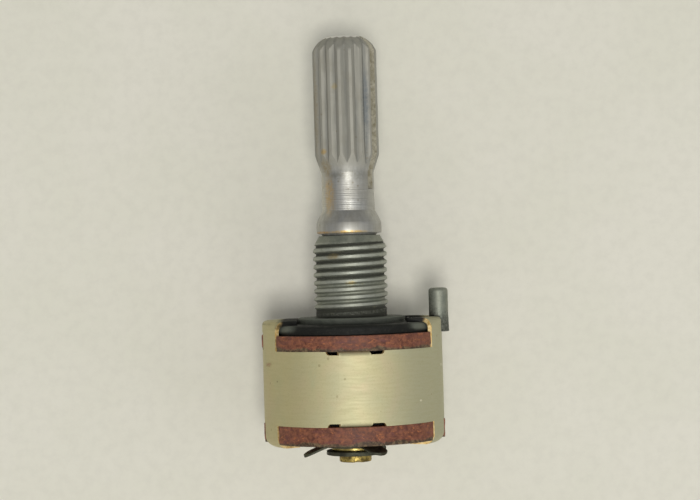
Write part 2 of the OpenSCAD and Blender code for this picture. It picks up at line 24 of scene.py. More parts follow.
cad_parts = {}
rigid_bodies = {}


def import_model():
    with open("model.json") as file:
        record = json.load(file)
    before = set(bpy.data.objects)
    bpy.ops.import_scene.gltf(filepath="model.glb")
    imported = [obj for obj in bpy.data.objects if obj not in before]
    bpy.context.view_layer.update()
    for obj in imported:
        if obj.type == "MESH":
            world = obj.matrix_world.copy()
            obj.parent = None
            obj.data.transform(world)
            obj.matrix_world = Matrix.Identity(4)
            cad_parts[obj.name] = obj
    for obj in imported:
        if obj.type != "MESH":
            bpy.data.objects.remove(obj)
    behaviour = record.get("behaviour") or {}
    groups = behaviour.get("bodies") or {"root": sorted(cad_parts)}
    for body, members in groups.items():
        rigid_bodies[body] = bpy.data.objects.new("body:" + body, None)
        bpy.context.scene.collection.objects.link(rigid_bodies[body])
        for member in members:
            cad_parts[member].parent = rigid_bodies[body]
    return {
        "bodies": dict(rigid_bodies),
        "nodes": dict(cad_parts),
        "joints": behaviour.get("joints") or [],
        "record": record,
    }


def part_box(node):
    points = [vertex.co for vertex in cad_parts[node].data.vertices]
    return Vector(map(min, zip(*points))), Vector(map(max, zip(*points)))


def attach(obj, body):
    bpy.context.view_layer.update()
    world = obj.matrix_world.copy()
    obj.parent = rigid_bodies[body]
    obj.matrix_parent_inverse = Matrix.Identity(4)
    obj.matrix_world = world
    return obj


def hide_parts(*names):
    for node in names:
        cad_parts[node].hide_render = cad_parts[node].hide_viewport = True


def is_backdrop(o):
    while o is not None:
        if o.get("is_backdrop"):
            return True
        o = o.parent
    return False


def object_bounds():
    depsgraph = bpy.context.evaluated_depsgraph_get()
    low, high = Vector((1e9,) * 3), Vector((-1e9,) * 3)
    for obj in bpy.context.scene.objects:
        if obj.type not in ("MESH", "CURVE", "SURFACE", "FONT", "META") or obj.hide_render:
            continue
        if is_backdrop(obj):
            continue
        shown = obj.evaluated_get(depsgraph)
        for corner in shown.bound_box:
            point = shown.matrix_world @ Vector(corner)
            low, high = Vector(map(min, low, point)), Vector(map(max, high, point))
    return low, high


LOG = logging.getLogger("potentiometer")
MM = 0.001
Array = np.ndarray


class Body(str, Enum):
    """The two bodies of the frame."""

    HOUSING = "housing"
    SHAFT = "shaft"


class Slot(str, Enum):
    """The record's material slots."""

    ZINC = "zinc"
    PLATED = "plated_steel"
    PHENOLIC = "phenolic"
    TINNED = "tinned"
    BRASS = "brass"
    DARK_STEEL = "dark_steel"
    ALUMINIUM = "aluminium"


# Shapes


def lay(points: Array) -> Array:
    """Lays standing millimetres down into the frame's metres: (x, y, z) becomes (x, z, -y).

    Args:
        points: Any array whose last axis is x, y, z.

    Returns:
        The same points in the frame.
    """
    return np.stack([points[..., 0], points[..., 2], -points[..., 1]], axis=-1) * MM


def standing_box(node: str) -> tuple[Array, Array]:
    """Gives the corners of a node of the frame as standing millimetres.

    Args:
        node: Name of the node.

    Returns:
        Lowest and highest corner.
    """
    low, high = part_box(node)
    corners = np.array([[low.x, -high.z, low.y], [high.x, -low.z, high.y]]) / MM
    return corners[0], corners[1]


def smooth_step(low: float, high: float, value: Array) -> Array:
    """Rises from 0 at low to 1 at high along the curve t * t * (3 - 2 * t).

    Args:
        low: Value at which the step starts.
        high: Value at which the step ends.
        value: Where to work it out.

    Returns:
        The step's height, from 0 to 1.
    """
    t = np.clip((value - low) / (high - low), 0.0, 1.0)
    return t * t * (3.0 - 2.0 * t)


def ripple(seed: int, *axes: Array, waves: int = 7, reach: float = 1.0) -> Array:
    """Sums a few sine waves with seeded directions and phases into an uneven field near -1 to 1.

    Args:
        seed: Seed of the waves' directions and phases.
        axes: Coordinates of equal shape, one for each dimension.
        waves: Number of waves.
        reach: Highest number of radians per unit of a coordinate.

    Returns:
        The field at each point.
    """
    draw = np.random.default_rng(seed)
    total = np.zeros(np.broadcast(*axes).shape)
    for k in range(waves):
        turns = draw.uniform(-reach, reach, len(axes)) * (0.4 + 0.6 * (k + 1) / waves)
        phase = draw.uniform(0.0, 2.0 * math.pi)
        total = total + np.sin(sum(t * a for t, a in zip(turns, axes)) + phase)
    return total / math.sqrt(2.0 * waves)


def cells(number: Array) -> Array:
    """Gives the four corners of each cell of a grid of point numbers."""
    return np.stack([number[:-1, :-1], number[:-1, 1:], number[1:, 1:], number[1:, :-1]], axis=-1)


@dataclass
class Draft:
    """A mesh in the making: points, faces, finish numbers and one mark for each point."""

    points: list[Array] = field(default_factory=list)
    faces: list[Array] = field(default_factory=list)
    finishes: list[Array] = field(default_factory=list)
    marks: list[Array] = field(default_factory=list)
    count: int = 0

    def _add(self, points: Array, faces: Array, finish: int, mark: Array | float) -> None:
        """Adds points and faces that are numbered from 0."""
        self.points.append(points)
        self.faces.append(faces + self.count)
        self.finishes.append(np.full(len(faces), finish))
        self.marks.append(np.broadcast_to(np.asarray(mark, float), (len(points),)).copy())
        self.count += len(points)

    def grid(
        self,
        points: Array,
        wrap: bool = False,
        finish: int = 0,
        mark: Array | float = 0.0,
        keep: Array | None = None,
    ) -> None:
        """Adds a grid of points as quads.

        Args:
            points: Rows by columns by 3, standing millimetres.
            wrap: Whether the last column joins the first.
            finish: Number of the finish.
            mark: One mark, or rows by columns of them.
            keep: Which cells are there, rows - 1 by columns - 1 (or columns where it wraps).
        """
        rows, cols = points.shape[:2]
        number = np.arange(rows * cols).reshape(rows, cols)
        if wrap:
            number = np.concatenate([number, number[:, :1]], axis=1)
        quads = cells(number)[keep] if keep is not None else cells(number).reshape(-1, 4)
        mark = np.broadcast_to(np.asarray(mark, float), (rows, cols)).reshape(-1)
        self._add(points.reshape(-1, 3), quads, finish, mark)

    def cap(self, loops: Sequence[Array], height: float, finish: int) -> None:
        """Fills a flat outline with holes, by Delaunay triangles whose centres are inside it.

        Args:
            loops: The outline and its holes, each a closed ring of x, y.
            height: Height of the face.
            finish: Number of the finish.
        """
        ring = np.concatenate(loops)
        starts = np.cumsum([0] + [len(loop) for loop in loops])
        sets = [np.arange(a, b) for a, b in zip(starts[:-1], starts[1:])]
        edges = np.concatenate([np.stack([s, np.roll(s, -1)], axis=1) for s in sets])
        found = delaunay_2d_cdt([Vector(p) for p in ring.tolist()], edges.tolist(), [], 0, 1e-6)
        flat, triangles = np.array([tuple(v) for v in found[0]]), np.array(found[2])
        centre = flat[triangles].mean(axis=1)
        inside = sum(crossings(loop, centre) for loop in loops) % 2 == 1
        points = np.column_stack([flat, np.full(len(flat), height)])
        triangles = triangles[inside]
        self._add(points, np.column_stack([triangles, triangles[:, 2]]), finish, 0.0)

    def turned(
        self, corners: Sequence[tuple[float, float, float]], sides: int, centre: Sequence[float] = (0.0, 0.0)
    ) -> None:
        """Adds a ring turned from a closed profile with rounded corners.

        Args:
            corners: Radius, height and break of each corner.
            sides: Number of points round the turn.
            centre: The ring's own axis, as x and y.
        """
        grid = revolve(soft_profile(corners), sides)
        grid[..., :2] += centre
        self.grid(grid, wrap=True)

    def mesh(self, name: str, weld: float = 2e-4) -> bpy.types.Mesh:
        """Welds the points, drops faces without area, turns all faces outwards and makes the mesh.

        Args:
            name: Name of the mesh.
            weld: Distance in millimetres within which points become one.

        Returns:
            The mesh, laid down in the frame, with the marks as the attribute "mark".
        """
        points, faces = np.concatenate(self.points), np.concatenate(self.faces)
        finish, mark = np.concatenate(self.finishes), np.concatenate(self.marks)
        keys = np.round(points / weld).astype(np.int64)
        _, first, back = np.unique(keys, axis=0, return_index=True, return_inverse=True)
        back = back.reshape(-1)
        points, mark, faces = points[first], mark[first], back[faces]
        same = faces == np.roll(faces, -1, axis=1)
        good = (same.sum(axis=1) <= 1) & (faces[:, 0] != faces[:, 2]) & (faces[:, 1] != faces[:, 3])
        faces, finish, same = faces[good], finish[good], same[good]
        lists = [face[~gone].tolist() for face, gone in zip(faces, same)]
        made = bpy.data.meshes.new(name)
        made.from_pydata(lay(points).tolist(), [], lists)
        made.polygons.foreach_set("material_index", finish.astype(np.int32))
        made.attributes.new("mark", "FLOAT", "POINT").data.foreach_set("value", mark.astype(np.float32))
        turn_outwards(made)
        return made


def turn_outwards(made: bpy.types.Mesh) -> None:
    """Removes loose points and turns every face of a closed mesh outwards."""
    work = bmesh.new()
    work.from_mesh(made)
    bmesh.ops.delete(work, geom=[v for v in work.verts if not v.link_faces], context="VERTS")
    bmesh.ops.recalc_face_normals(work, faces=work.faces)
    work.to_mesh(made)
    work.free()
    made.update()


def crossings(loop: Array, where: Array) -> Array:
    """Counts how often a ray to +x from each place crosses a closed ring.

    Args:
        loop: The ring's points, n by 2.
        where: The places, m by 2.

    Returns:
        The number of crossings for each place.
    """
    start, stop = loop, np.roll(loop, -1, axis=0)
    x, y = where[:, :1], where[:, 1:]
    spans = (start[:, 1] > y) != (stop[:, 1] > y)
    rise = np.where(stop[:, 1] == start[:, 1], 1.0, stop[:, 1] - start[:, 1])
    at = start[:, 0] + (y - start[:, 1]) / rise * (stop[:, 0] - start[:, 0])
    return (spans & (at > x)).sum(axis=1)


def polar(radius: Array, turn: Array, height: Array) -> Array:
    """Puts radii, angles in radians and heights together into points round the shaft's axis."""
    parts = np.broadcast_arrays(radius * np.cos(turn), radius * np.sin(turn), height)
    return np.stack(parts, axis=-1)


def revolve(profile: Array, sides: int) -> Array:
    """Turns a profile of radius and height round the shaft's axis.

    Args:
        profile: n by 2, radius and height.
        sides: Number of points round the turn.

    Returns:
        A grid, n by sides by 3, whose columns wrap.
    """
    turn = np.linspace(0.0, 2.0 * math.pi, sides, endpoint=False)
    return polar(profile[:, :1], turn, profile[:, 1:])


def soft_profile(corners: Sequence[tuple[float, float, float]], steps: int = 5) -> Array:
    """Rounds the corners of an open or closed profile with quadratic curves.

    A corner with a break of b is cut b before and b after it, and the two cuts are joined by the
    curve (1 - t)^2 * A + 2 * t * (1 - t) * corner + t^2 * B.

    Args:
        corners: Radius, height and break of each corner.
        steps: Points on each rounded corner.

    Returns:
        n by 2, radius and height.
    """
    spot = np.array([c[:2] for c in corners], float)
    run: list[Array] = []
    t = np.linspace(0.0, 1.0, steps)[:, None]
    for i, (_, _, cut) in enumerate(corners):
        if cut <= 0.0 or i in (0, len(corners) - 1):
            run.append(spot[i : i + 1])
            continue
        back, ahead = spot[i - 1] - spot[i], spot[i + 1] - spot[i]
        before = spot[i] + back * min(cut / np.linalg.norm(back), 0.5)
        after = spot[i] + ahead * min(cut / np.linalg.norm(ahead), 0.5)
        run.append((1 - t) ** 2 * before + 2 * t * (1 - t) * spot[i] + t**2 * after)
    return np.concatenate(run)


def arc(centre: tuple[float, float], radius: float, start: float, stop: float, steps: int) -> Array:
    """Points on a flat arc, from one angle to another, in degrees."""
    turn = np.radians(np.linspace(start, stop, steps))
    return np.array(centre) + radius * np.stack([np.cos(turn), np.sin(turn)], axis=1)


def evenly(loop: Array, spacing: float) -> Array:
    """Lays points at even spacing along a closed ring, and keeps the ring's own points too.

    Args:
        loop: n by 2.
        spacing: Widest distance between neighbours.

    Returns:
        The finer ring.
    """
    ahead = np.roll(loop, -1, axis=0)
    parts = np.maximum(1, np.ceil(np.linalg.norm(ahead - loop, axis=1) / spacing)).astype(int)
    index = np.repeat(np.arange(len(loop)), parts)
    share = (np.arange(len(index)) - np.repeat(np.cumsum(parts) - parts, parts)) / parts[index]
    return loop[index] + share[:, None] * (ahead[index] - loop[index])


def inset(loop: Array, depth: Array | float) -> Array:
    """Moves each point of a ring that runs anticlockwise inwards, along its corner's bisector.

    Args:
        loop: n by 2.
        depth: How far, the same for all or one for each point.

    Returns:
        The moved ring.
    """
    ahead, behind = np.roll(loop, -1, axis=0) - loop, loop - np.roll(loop, 1, axis=0)
    unit = [v / np.maximum(np.linalg.norm(v, axis=1, keepdims=True), 1e-9) for v in (ahead, behind)]
    normal = [np.stack([-u[:, 1], u[:, 0]], axis=1) for u in unit]
    middle = normal[0] + normal[1]
    middle /= np.maximum((middle * normal[0]).sum(axis=1, keepdims=True), 0.6)
    return loop + middle * np.reshape(depth, (-1, 1))


def add_plate(
    draft: Draft,
    outline: Array,
    holes: Sequence[Array],
    low: float,
    high: float,
    edge: float,
    rows: int = 3,
    finishes: tuple[int, int] = (0, 0),
    rough: Callable[[Array, Array], Array] | None = None,
) -> None:
    """Adds a flat plate with rounded edges: walls from rows of insets, closed by two faces.

    Args:
        draft: The mesh in the making.
        outline: Outer ring, anticlockwise.
        holes: Inner rings, clockwise.
        low: Height of the lower face.
        high: Height of the upper face.
        edge: Radius of the rounded edges.
        rows: Rows on the straight part of the wall.
        finishes: Finish of the faces and of the outer wall.
        rough: Depth of the wall's roughness from its points and heights.
    """
    bend = np.linspace(0.0, math.pi / 2, 4)
    depth = np.concatenate([edge * (1 - np.sin(bend)), np.zeros(rows), edge * (1 - np.cos(bend))])
    straight = np.linspace(low + edge, high - edge, rows + 2)[1:-1]
    level = np.concatenate([low + edge * (1 - np.cos(bend)), straight, high - edge + edge * np.sin(bend)])
    ends: list[tuple[Array, Array]] = []
    for number, ring in enumerate([outline, *holes]):
        outer = number == 0
        loops = np.stack([inset(ring, d) for d in depth])
        heights = np.broadcast_to(level[:, None], loops.shape[:2])
        if outer and rough is not None:
            loops = np.stack([inset(ring, d + e) for d, e in zip(depth, rough(loops, heights))])
        points = np.concatenate([loops, heights[..., None]], axis=-1)
        draft.grid(points, wrap=True, finish=finishes[int(outer)], mark=float(outer))
        ends.append((loops[0], loops[-1]))
    for rings, height in zip(zip(*ends), (low, high)):
        draft.cap(rings, height, finishes[0])


def circle(x: float, y: float, radius: float, sides: int) -> Array:
    """A ring of points round a hole, clockwise."""
    return arc((x, y), radius, 0.0, -360.0, sides + 1)[:-1]


# Finishing the pieces


@dataclass
class Workshop:
    """Turns drafts into finished pieces of the frame and keeps the list of what was made."""

    pieces: list[bpy.types.Object] = field(default_factory=list)

    def piece(
        self,
        name: str,
        draft: Draft | bpy.types.Mesh,
        body: Body,
        stands_for: Sequence[str],
        finishes: Sequence[bpy.types.Material],
        crease: float = 32.0,
    ) -> None:
        """Makes a piece, gives it its finishes, ties it to its body and hides the nodes that it stands for.

        Args:
            name: Name of the piece.
            draft: Its shape.
            body: The body that it moves with.
            stands_for: The nodes that it replaces.
            finishes: Materials, in the order of the draft's finish numbers.
            crease: Angle in degrees from which an edge is drawn sharp.
        """
        made = draft.mesh(name) if isinstance(draft, Draft) else draft
        made.polygons.foreach_set("use_smooth", np.ones(len(made.polygons), bool))
        made.set_sharp_from_angle(angle=math.radians(crease))
        thing = bpy.data.objects.new(name, made)
        bpy.context.scene.collection.objects.link(thing)
        for finish in finishes:
            made.materials.append(finish)
        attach(thing, body.value)
        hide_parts(*stands_for)
        self.pieces.append(thing)
        LOG.info("%s: %d faces, stands for %s", name, len(made.polygons), ", ".join(stands_for))

    def dress(self, frame: dict, nodes: Sequence[str], finish: bpy.types.Material) -> None:
        """Gives nodes of the frame a finish and leaves their shape alone."""
        for node in nodes:
            slots = frame["nodes"][node].data.materials
            slots.clear()
            slots.append(finish)
            LOG.info("%s: dressed as %s", node, finish.name)


def thicken(made: bpy.types.Mesh, name: str, thickness: float, edge: float) -> bpy.types.Mesh:
    """Gives a sheet its thickness, half on each side, and breaks its cut edges.

    Args:
        made: The middle surface of the sheet.
        name: Name of the new mesh.
        thickness: Thickness in millimetres.
        edge: Width of the broken edges in millimetres.

    Returns:
        The solid sheet, whose cut edges have finish number 1.
    """
    sheet = bpy.data.objects.new(name, made)
    bpy.context.scene.collection.objects.link(sheet)
    blank = bpy.data.materials.new("blank")
    for _ in range(2):
        made.materials.append(blank)
    wall = sheet.modifiers.new("wall", "SOLIDIFY")
    wall.thickness, wall.offset, wall.use_even_offset = thickness * MM, 0.0, True
    wall.use_rim, wall.material_offset_rim = True, 1
    broken = sheet.modifiers.new("broken", "BEVEL")
    broken.width, broken.segments, broken.limit_method = edge * MM, 2, "ANGLE"
    broken.angle_limit, broken.use_clamp_overlap = math.radians(50.0), True
    bpy.context.view_layer.update()
    solid = bpy.data.meshes.new_from_object(sheet.evaluated_get(bpy.context.evaluated_depsgraph_get()))
    solid.name = name
    finish = np.empty(len(solid.polygons), np.int32)
    solid.polygons.foreach_get("material_index", finish)
    bpy.data.objects.remove(sheet)
    solid.materials.clear()
    solid.polygons.foreach_set("material_index", finish)
    bpy.data.materials.remove(blank)
    return solid


# Materials


Socket, Material = bpy.types.NodeSocket, bpy.types.Material
Triple = tuple[float, float, float]
Tone = tuple[int, int, int]
FLOAT, VECTOR = "NodeSocketFloat", "NodeSocketVector"


def linear(red: int, green: int, blue: int) -> tuple[float, float, float, float]:
    """Turns a colour given as 0 to 255 on the screen into linear light."""
    part = [c / 255.0 for c in (red, green, blue)]
    out = [c / 12.92 if c <= 0.04045 else ((c + 0.055) / 1.055) ** 2.4 for c in part]
    return (out[0], out[1], out[2], 1.0)


@dataclass
class Net:
    """A short way to write a node tree."""

    tree: bpy.types.NodeTree

    def put(self, socket: Socket, value: object) -> None:
        """Links a socket to another one, or sets its value."""
        if isinstance(value, Socket):
            self.tree.links.new(value, socket)
        else:
            socket.default_value = value

    def node(self, kind: str, inputs: dict | None = None, **settings: object) -> bpy.types.Node:
        """Adds a node, sets its properties and sets or links its inputs.

        Args:
            kind: The node's type.
            inputs: Values or sockets by the input's name or number.
            settings: Properties of the node.

        Returns:
            The node.
        """
        made = self.tree.nodes.new(kind)
        for key, value in settings.items():
            setattr(made, key, value)
        for key, value in (inputs or {}).items():
            self.put(made.inputs[key], value)
        return made

    def math(self, operation: str, first: object, second: object = 0.0) -> Socket:
        """Adds a Math node and returns its value."""
        return self.node("ShaderNodeMath", {0: first, 1: second}, operation=operation).outputs[0]

    def plus(self, first: object, second: object) -> Socket:
        """Adds two values."""
        return self.math("ADD", first, second)

    def minus(self, first: object, second: object) -> Socket:
        """Takes the second value from the first."""
        return self.math("SUBTRACT", first, second)

    def times(self, first: object, second: object) -> Socket:
        """Multiplies two values."""
        return self.math("MULTIPLY", first, second)

    def span(
        self, value: object, low: object, high: object, to_low: float = 0.0, to_high: float = 1.0
    ) -> Socket:
        """Maps a value smoothly from one range to another and returns it."""
        inputs = {"Value": value, "From Min": low, "From Max": high, "To Min": to_low, "To Max": to_high}
        return self.node("ShaderNodeMapRange", inputs, interpolation_type="SMOOTHSTEP").outputs["Result"]

    def mix(self, share: object, first: object, second: object) -> Socket:
        """Mixes two colours, each a socket or a tone, and returns the colour."""
        first, second = (c if isinstance(c, Socket) else linear(*c) for c in (first, second))
        return self.node("ShaderNodeMix", {0: share, 6: first, 7: second}, data_type="RGBA").outputs[2]

    def coats(self, colour: object, *coats: tuple[object, Tone]) -> Socket:
        """Lays coats over a colour, each with its mask and its tone, and returns the colour."""
        for mask, tone in coats:
            colour = self.mix(mask, colour, tone)
        return colour

    def noise(
        self, vector: object, scale: object, detail: float = 4.0, rough: float = 0.55, warp: float = 0.0
    ) -> Socket:
        """Adds a noise texture and returns its value."""
        inputs = {"Vector": vector, "Scale": scale, "Detail": detail, "Roughness": rough, "Distortion": warp}
        return self.node("ShaderNodeTexNoise", inputs).outputs["Fac"]

    def parts(self, vector: object) -> list[Socket]:
        """Splits coordinates into x, y and z."""
        return list(self.node("ShaderNodeSeparateXYZ", {0: vector}).outputs)

    def bump(self, height: object, strength: float, distance: float) -> Socket:
        """Turns a height into a normal; the distance is in millimetres."""
        inputs = {"Strength": strength, "Distance": distance * MM, "Height": height}
        return self.node("ShaderNodeBump", inputs).outputs[0]


def new_group(name: str, output: str, inputs: dict[str, object]) -> tuple[Net, list[Socket], Socket]:
    """Starts a shader node group that puts out one value.

    Args:
        name: Name of the group.
        output: Name of its output.
        inputs: Default value by the input's name, None for coordinates that are always linked.

    Returns:
        The group's net, its input sockets in their order, and its output socket.
    """
    group = bpy.data.node_groups.new(name, "ShaderNodeTree")
    for key, value in inputs.items():
        kind = FLOAT if isinstance(value, float) else VECTOR
        socket = group.interface.new_socket(key, in_out="INPUT", socket_type=kind)
        if value is not None:
            socket.default_value = value
    group.interface.new_socket(output, in_out="OUTPUT", socket_type=FLOAT)
    net = Net(group)
    entry = net.node("NodeGroupInput")
    return net, [entry.outputs[key] for key in inputs], net.node("NodeGroupOutput").inputs[output]


def stain_group() -> bpy.types.NodeTree:
    """Cloudy patches: layered noise, cut off at a threshold with a soft border."""
    inputs = {"Vector": None, "Scale": 400.0, "Threshold": 0.55, "Softness": 0.1}
    net, (vector, scale, threshold, soft), leave = new_group("cloudy_stain", "Mask", inputs)
    value = net.noise(vector, scale, 6.0, 0.6, 0.6)
    net.put(leave, net.span(value, threshold, net.plus(threshold, soft)))
    return net.tree


def speck_group() -> bpy.types.NodeTree:
    """Small scattered dots: cells whose centre is near, on a few cells picked by their colour."""
    inputs = {"Vector": None, "Scale": 2500.0, "Size": 0.25, "Share": 0.2}
    net, (vector, scale, size, share), leave = new_group("small_specks", "Mask", inputs)
    cell = net.node("ShaderNodeTexVoronoi", {"Vector": vector, "Scale": scale})
    pick = net.node("ShaderNodeSeparateColor", {0: cell.outputs["Color"]}).outputs[0]
    near, chosen = net.math("LESS_THAN", cell.outputs["Distance"], size), net.math("LESS_THAN", pick, share)
    net.put(leave, net.times(near, chosen))
    return net.tree


def lathe_group() -> bpy.types.NodeTree:
    """Fine rings round the shaft: noise that is squeezed along the shaft and long round it."""
    inputs = {"Vector": None, "Pitch": 9000.0, "Blur": 0.02}
    net, (vector, pitch, blur), leave = new_group("lathe_lines", "Value", inputs)
    x, y, z = net.parts(vector)
    flat = net.node("ShaderNodeCombineXYZ", {0: net.times(x, blur), 1: y, 2: net.times(z, blur)}).outputs[0]
    net.put(leave, net.noise(flat, pitch, 3.0, 0.7))
    return net.tree


def blob_group() -> bpy.types.NodeTree:
    """One uneven spot: the distance to a place, bent by noise, falling from 1 to 0 at its rim."""
    inputs = {"Vector": None, "Place": (0.0, 0.0, 0.0), "Inverse Size": (1.0, 1.0, 1.0)}
    net, (vector, place, shrink), leave = new_group("uneven_spot", "Mask", inputs)
    apart = net.node("ShaderNodeVectorMath", {0: vector, 1: place}, operation="SUBTRACT").outputs[0]
    scaled = net.node("ShaderNodeVectorMath", {0: apart, 1: shrink}, operation="MULTIPLY").outputs[0]
    length = net.node("ShaderNodeVectorMath", {0: scaled}, operation="LENGTH").outputs["Value"]
    bent = net.plus(length, net.noise(vector, 1500.0, 5.0, 0.65))
    broken = net.span(net.noise(vector, 4200.0, 5.0, 0.7), 0.34, 0.6, 0.3, 1.0)
    net.put(leave, net.times(net.span(bent, 1.75, 0.85), broken))
    return net.tree


@dataclass(frozen=True)
class Spot:
    """A spot of colour at one place on a piece, in standing millimetres, with its half sizes and colour: a
    stain, a painted highlight, a painted glint or a painted shade.
    """

    place: Triple
    size: Triple
    colour: Tone
    strength: float = 0.8


@dataclass(frozen=True)
class Metal:
    """A small metal piece: its tones, the dirt on it, its roughness, and the scale of its clouds."""

    light: Tone
    dark: Tone
    grime: Tone
    rough: tuple[float, float]
    metallic: float
    scale: float = 900.0
    dirt: float = 0.5


METALS = {
    "tarnished_brass": Metal((214, 194, 122), (160, 142, 78), (96, 86, 50), (0.34, 0.48), 0.95, dirt=0.6),
    "dark_oiled_steel": Metal((80, 82, 66), (40, 40, 32), (62, 54, 32), (0.5, 0.66), 0.6),
    "tinned_lug": Metal((196, 194, 184), (160, 158, 148), (128, 118, 92), (0.3, 0.42), 0.95, dirt=0.4),
    "tinned_eyelet": Metal((186, 182, 166), (142, 138, 124), (112, 100, 72), (0.32, 0.45), 0.95),
    "phosphor_bronze": Metal((200, 140, 88), (160, 104, 60), (110, 76, 46), (0.3, 0.42), 0.95, dirt=0.35),
    "printed_silver": Metal((206, 204, 196), (172, 170, 160), (140, 134, 116), (0.42, 0.56), 0.6, dirt=0.35),
    "slot_wall": Metal((206, 202, 184), (160, 154, 132), (112, 104, 80), (0.5, 0.66), 0.3, 1800.0),
    "stained_brass": Metal((196, 172, 96), (104, 88, 46), (66, 56, 34), (0.4, 0.54), 0.85, 2200.0, 0.8),
}
SHAFT_SPOTS = (
    Spot((-1.75, -1.8, 11.4), (0.6, 0.9, 2.2), (204, 176, 128), 0.8),
    Spot((-1.9, -1.6, 14.0), (0.7, 0.9, 0.9), (146, 126, 80), 0.6),
    Spot((0.0, -2.4, 13.2), (2.6, 1.2, 0.55), (128, 126, 112), 0.5),
    Spot((-2.2, -1.9, 15.4), (0.35, 0.8, 0.3), (172, 142, 76), 0.7),
    Spot((-1.0, -2.8, 21.4), (0.3, 0.7, 0.35), (164, 144, 88), 0.6),
    Spot((1.85, -2.3, 19.6), (0.42, 0.8, 4.2), (98, 106, 112), 0.75),
    Spot((-2.9, -1.0, 19.5), (0.4, 1.2, 4.5), (140, 122, 88), 0.5),
    Spot((-2.4, -1.5, 7.93), (1.2, 1.6, 0.13), (176, 134, 66), 0.9),
    Spot((-0.2, -3.0, 7.94), (2.1, 1.4, 0.16), (202, 168, 96), 0.9),
    # painted highlight: a light streak on the neck's left side
    Spot((-2.45, -0.4, 11.6), (0.35, 1.2, 2.6), (214, 208, 190), 0.6),
)
CASTING_SPOTS = (
    Spot((-1.6, -3.0, 5.7), (0.7, 0.8, 0.3), (150, 130, 80), 0.7),
    Spot((0.1, -3.4, 3.2), (0.5, 0.6, 0.2), (190, 166, 90), 0.7),
)
COVER_SPOTS = (
    Spot((-7.7, -3.0, -4.1), (0.5, 0.9, 0.25), (150, 92, 70), 0.6),
    # painted shade: a dark line along the top of the front-left corner
    Spot((-7.7, 0.0, -0.42), (1.1, 3.2, 0.14), (78, 74, 60), 0.85),
    Spot((-6.9, -4.6, -5.6), (0.12, 0.2, 0.1), (90, 72, 48), 0.8),
    # painted glints: two near-white dots on dents of the cover
    Spot((8.1, -1.9, -4.6), (0.2, 0.4, 0.14), (240, 236, 214), 0.8),
    Spot((6.1, -5.8, -7.6), (0.14, 0.2, 0.12), (236, 232, 208), 0.8),
)


class Finish(Net):
    """One material in the making, with its shader and its object coordinates."""

    def __init__(self, name: str) -> None:
        """Starts the material with an empty tree, a shader and an output."""
        self.material = bpy.data.materials.new(name)
        self.material.use_nodes = True
        super().__init__(self.material.node_tree)
        self.tree.nodes.clear()
        self.shader = self.node("ShaderNodeBsdfPrincipled")
        self.node("ShaderNodeOutputMaterial", {"Surface": self.shader.outputs[0]})
        self.where = self.node("ShaderNodeTexCoord").outputs["Object"]

    def cloud(
        self, scale: float, detail: float = 4.0, rough: float = 0.55, warp: float = 0.0,
        stretch: Triple | None = None, place: Triple = (0.0, 0.0, 0.0),
    ) -> Socket:
        """Adds noise on the object's coordinates, scaled along each axis and shifted where asked."""
        where = self.where
        if stretch is not None:
            inputs = {"Vector": where, "Location": place, "Scale": stretch}
            where = self.node("ShaderNodeMapping", inputs).outputs[0]
        return self.noise(where, scale, detail, rough, warp)

    def mark(self) -> Socket:
        """Returns the mark that each point of the mesh carries."""
        return self.node("ShaderNodeAttribute", attribute_name="mark").outputs["Fac"]

    def use(self, group: bpy.types.NodeTree, **inputs: object) -> Socket:
        """Places a shared effect on the object's coordinates and returns its one output."""
        named = {key.replace("_", " "): value for key, value in inputs.items()}
        return self.node("ShaderNodeGroup", {"Vector": self.where, **named}, node_tree=group).outputs[0]

    def done(self, colour: object, rough: object, **sockets: object) -> Material:
        """Feeds the shader, with underscores for spaces in its sockets' names, and gives the material."""
        for key, value in {"Base_Color": colour, "Roughness": rough, **sockets}.items():
            self.put(self.shader.inputs[key.replace("_", " ")], value)
        return self.material


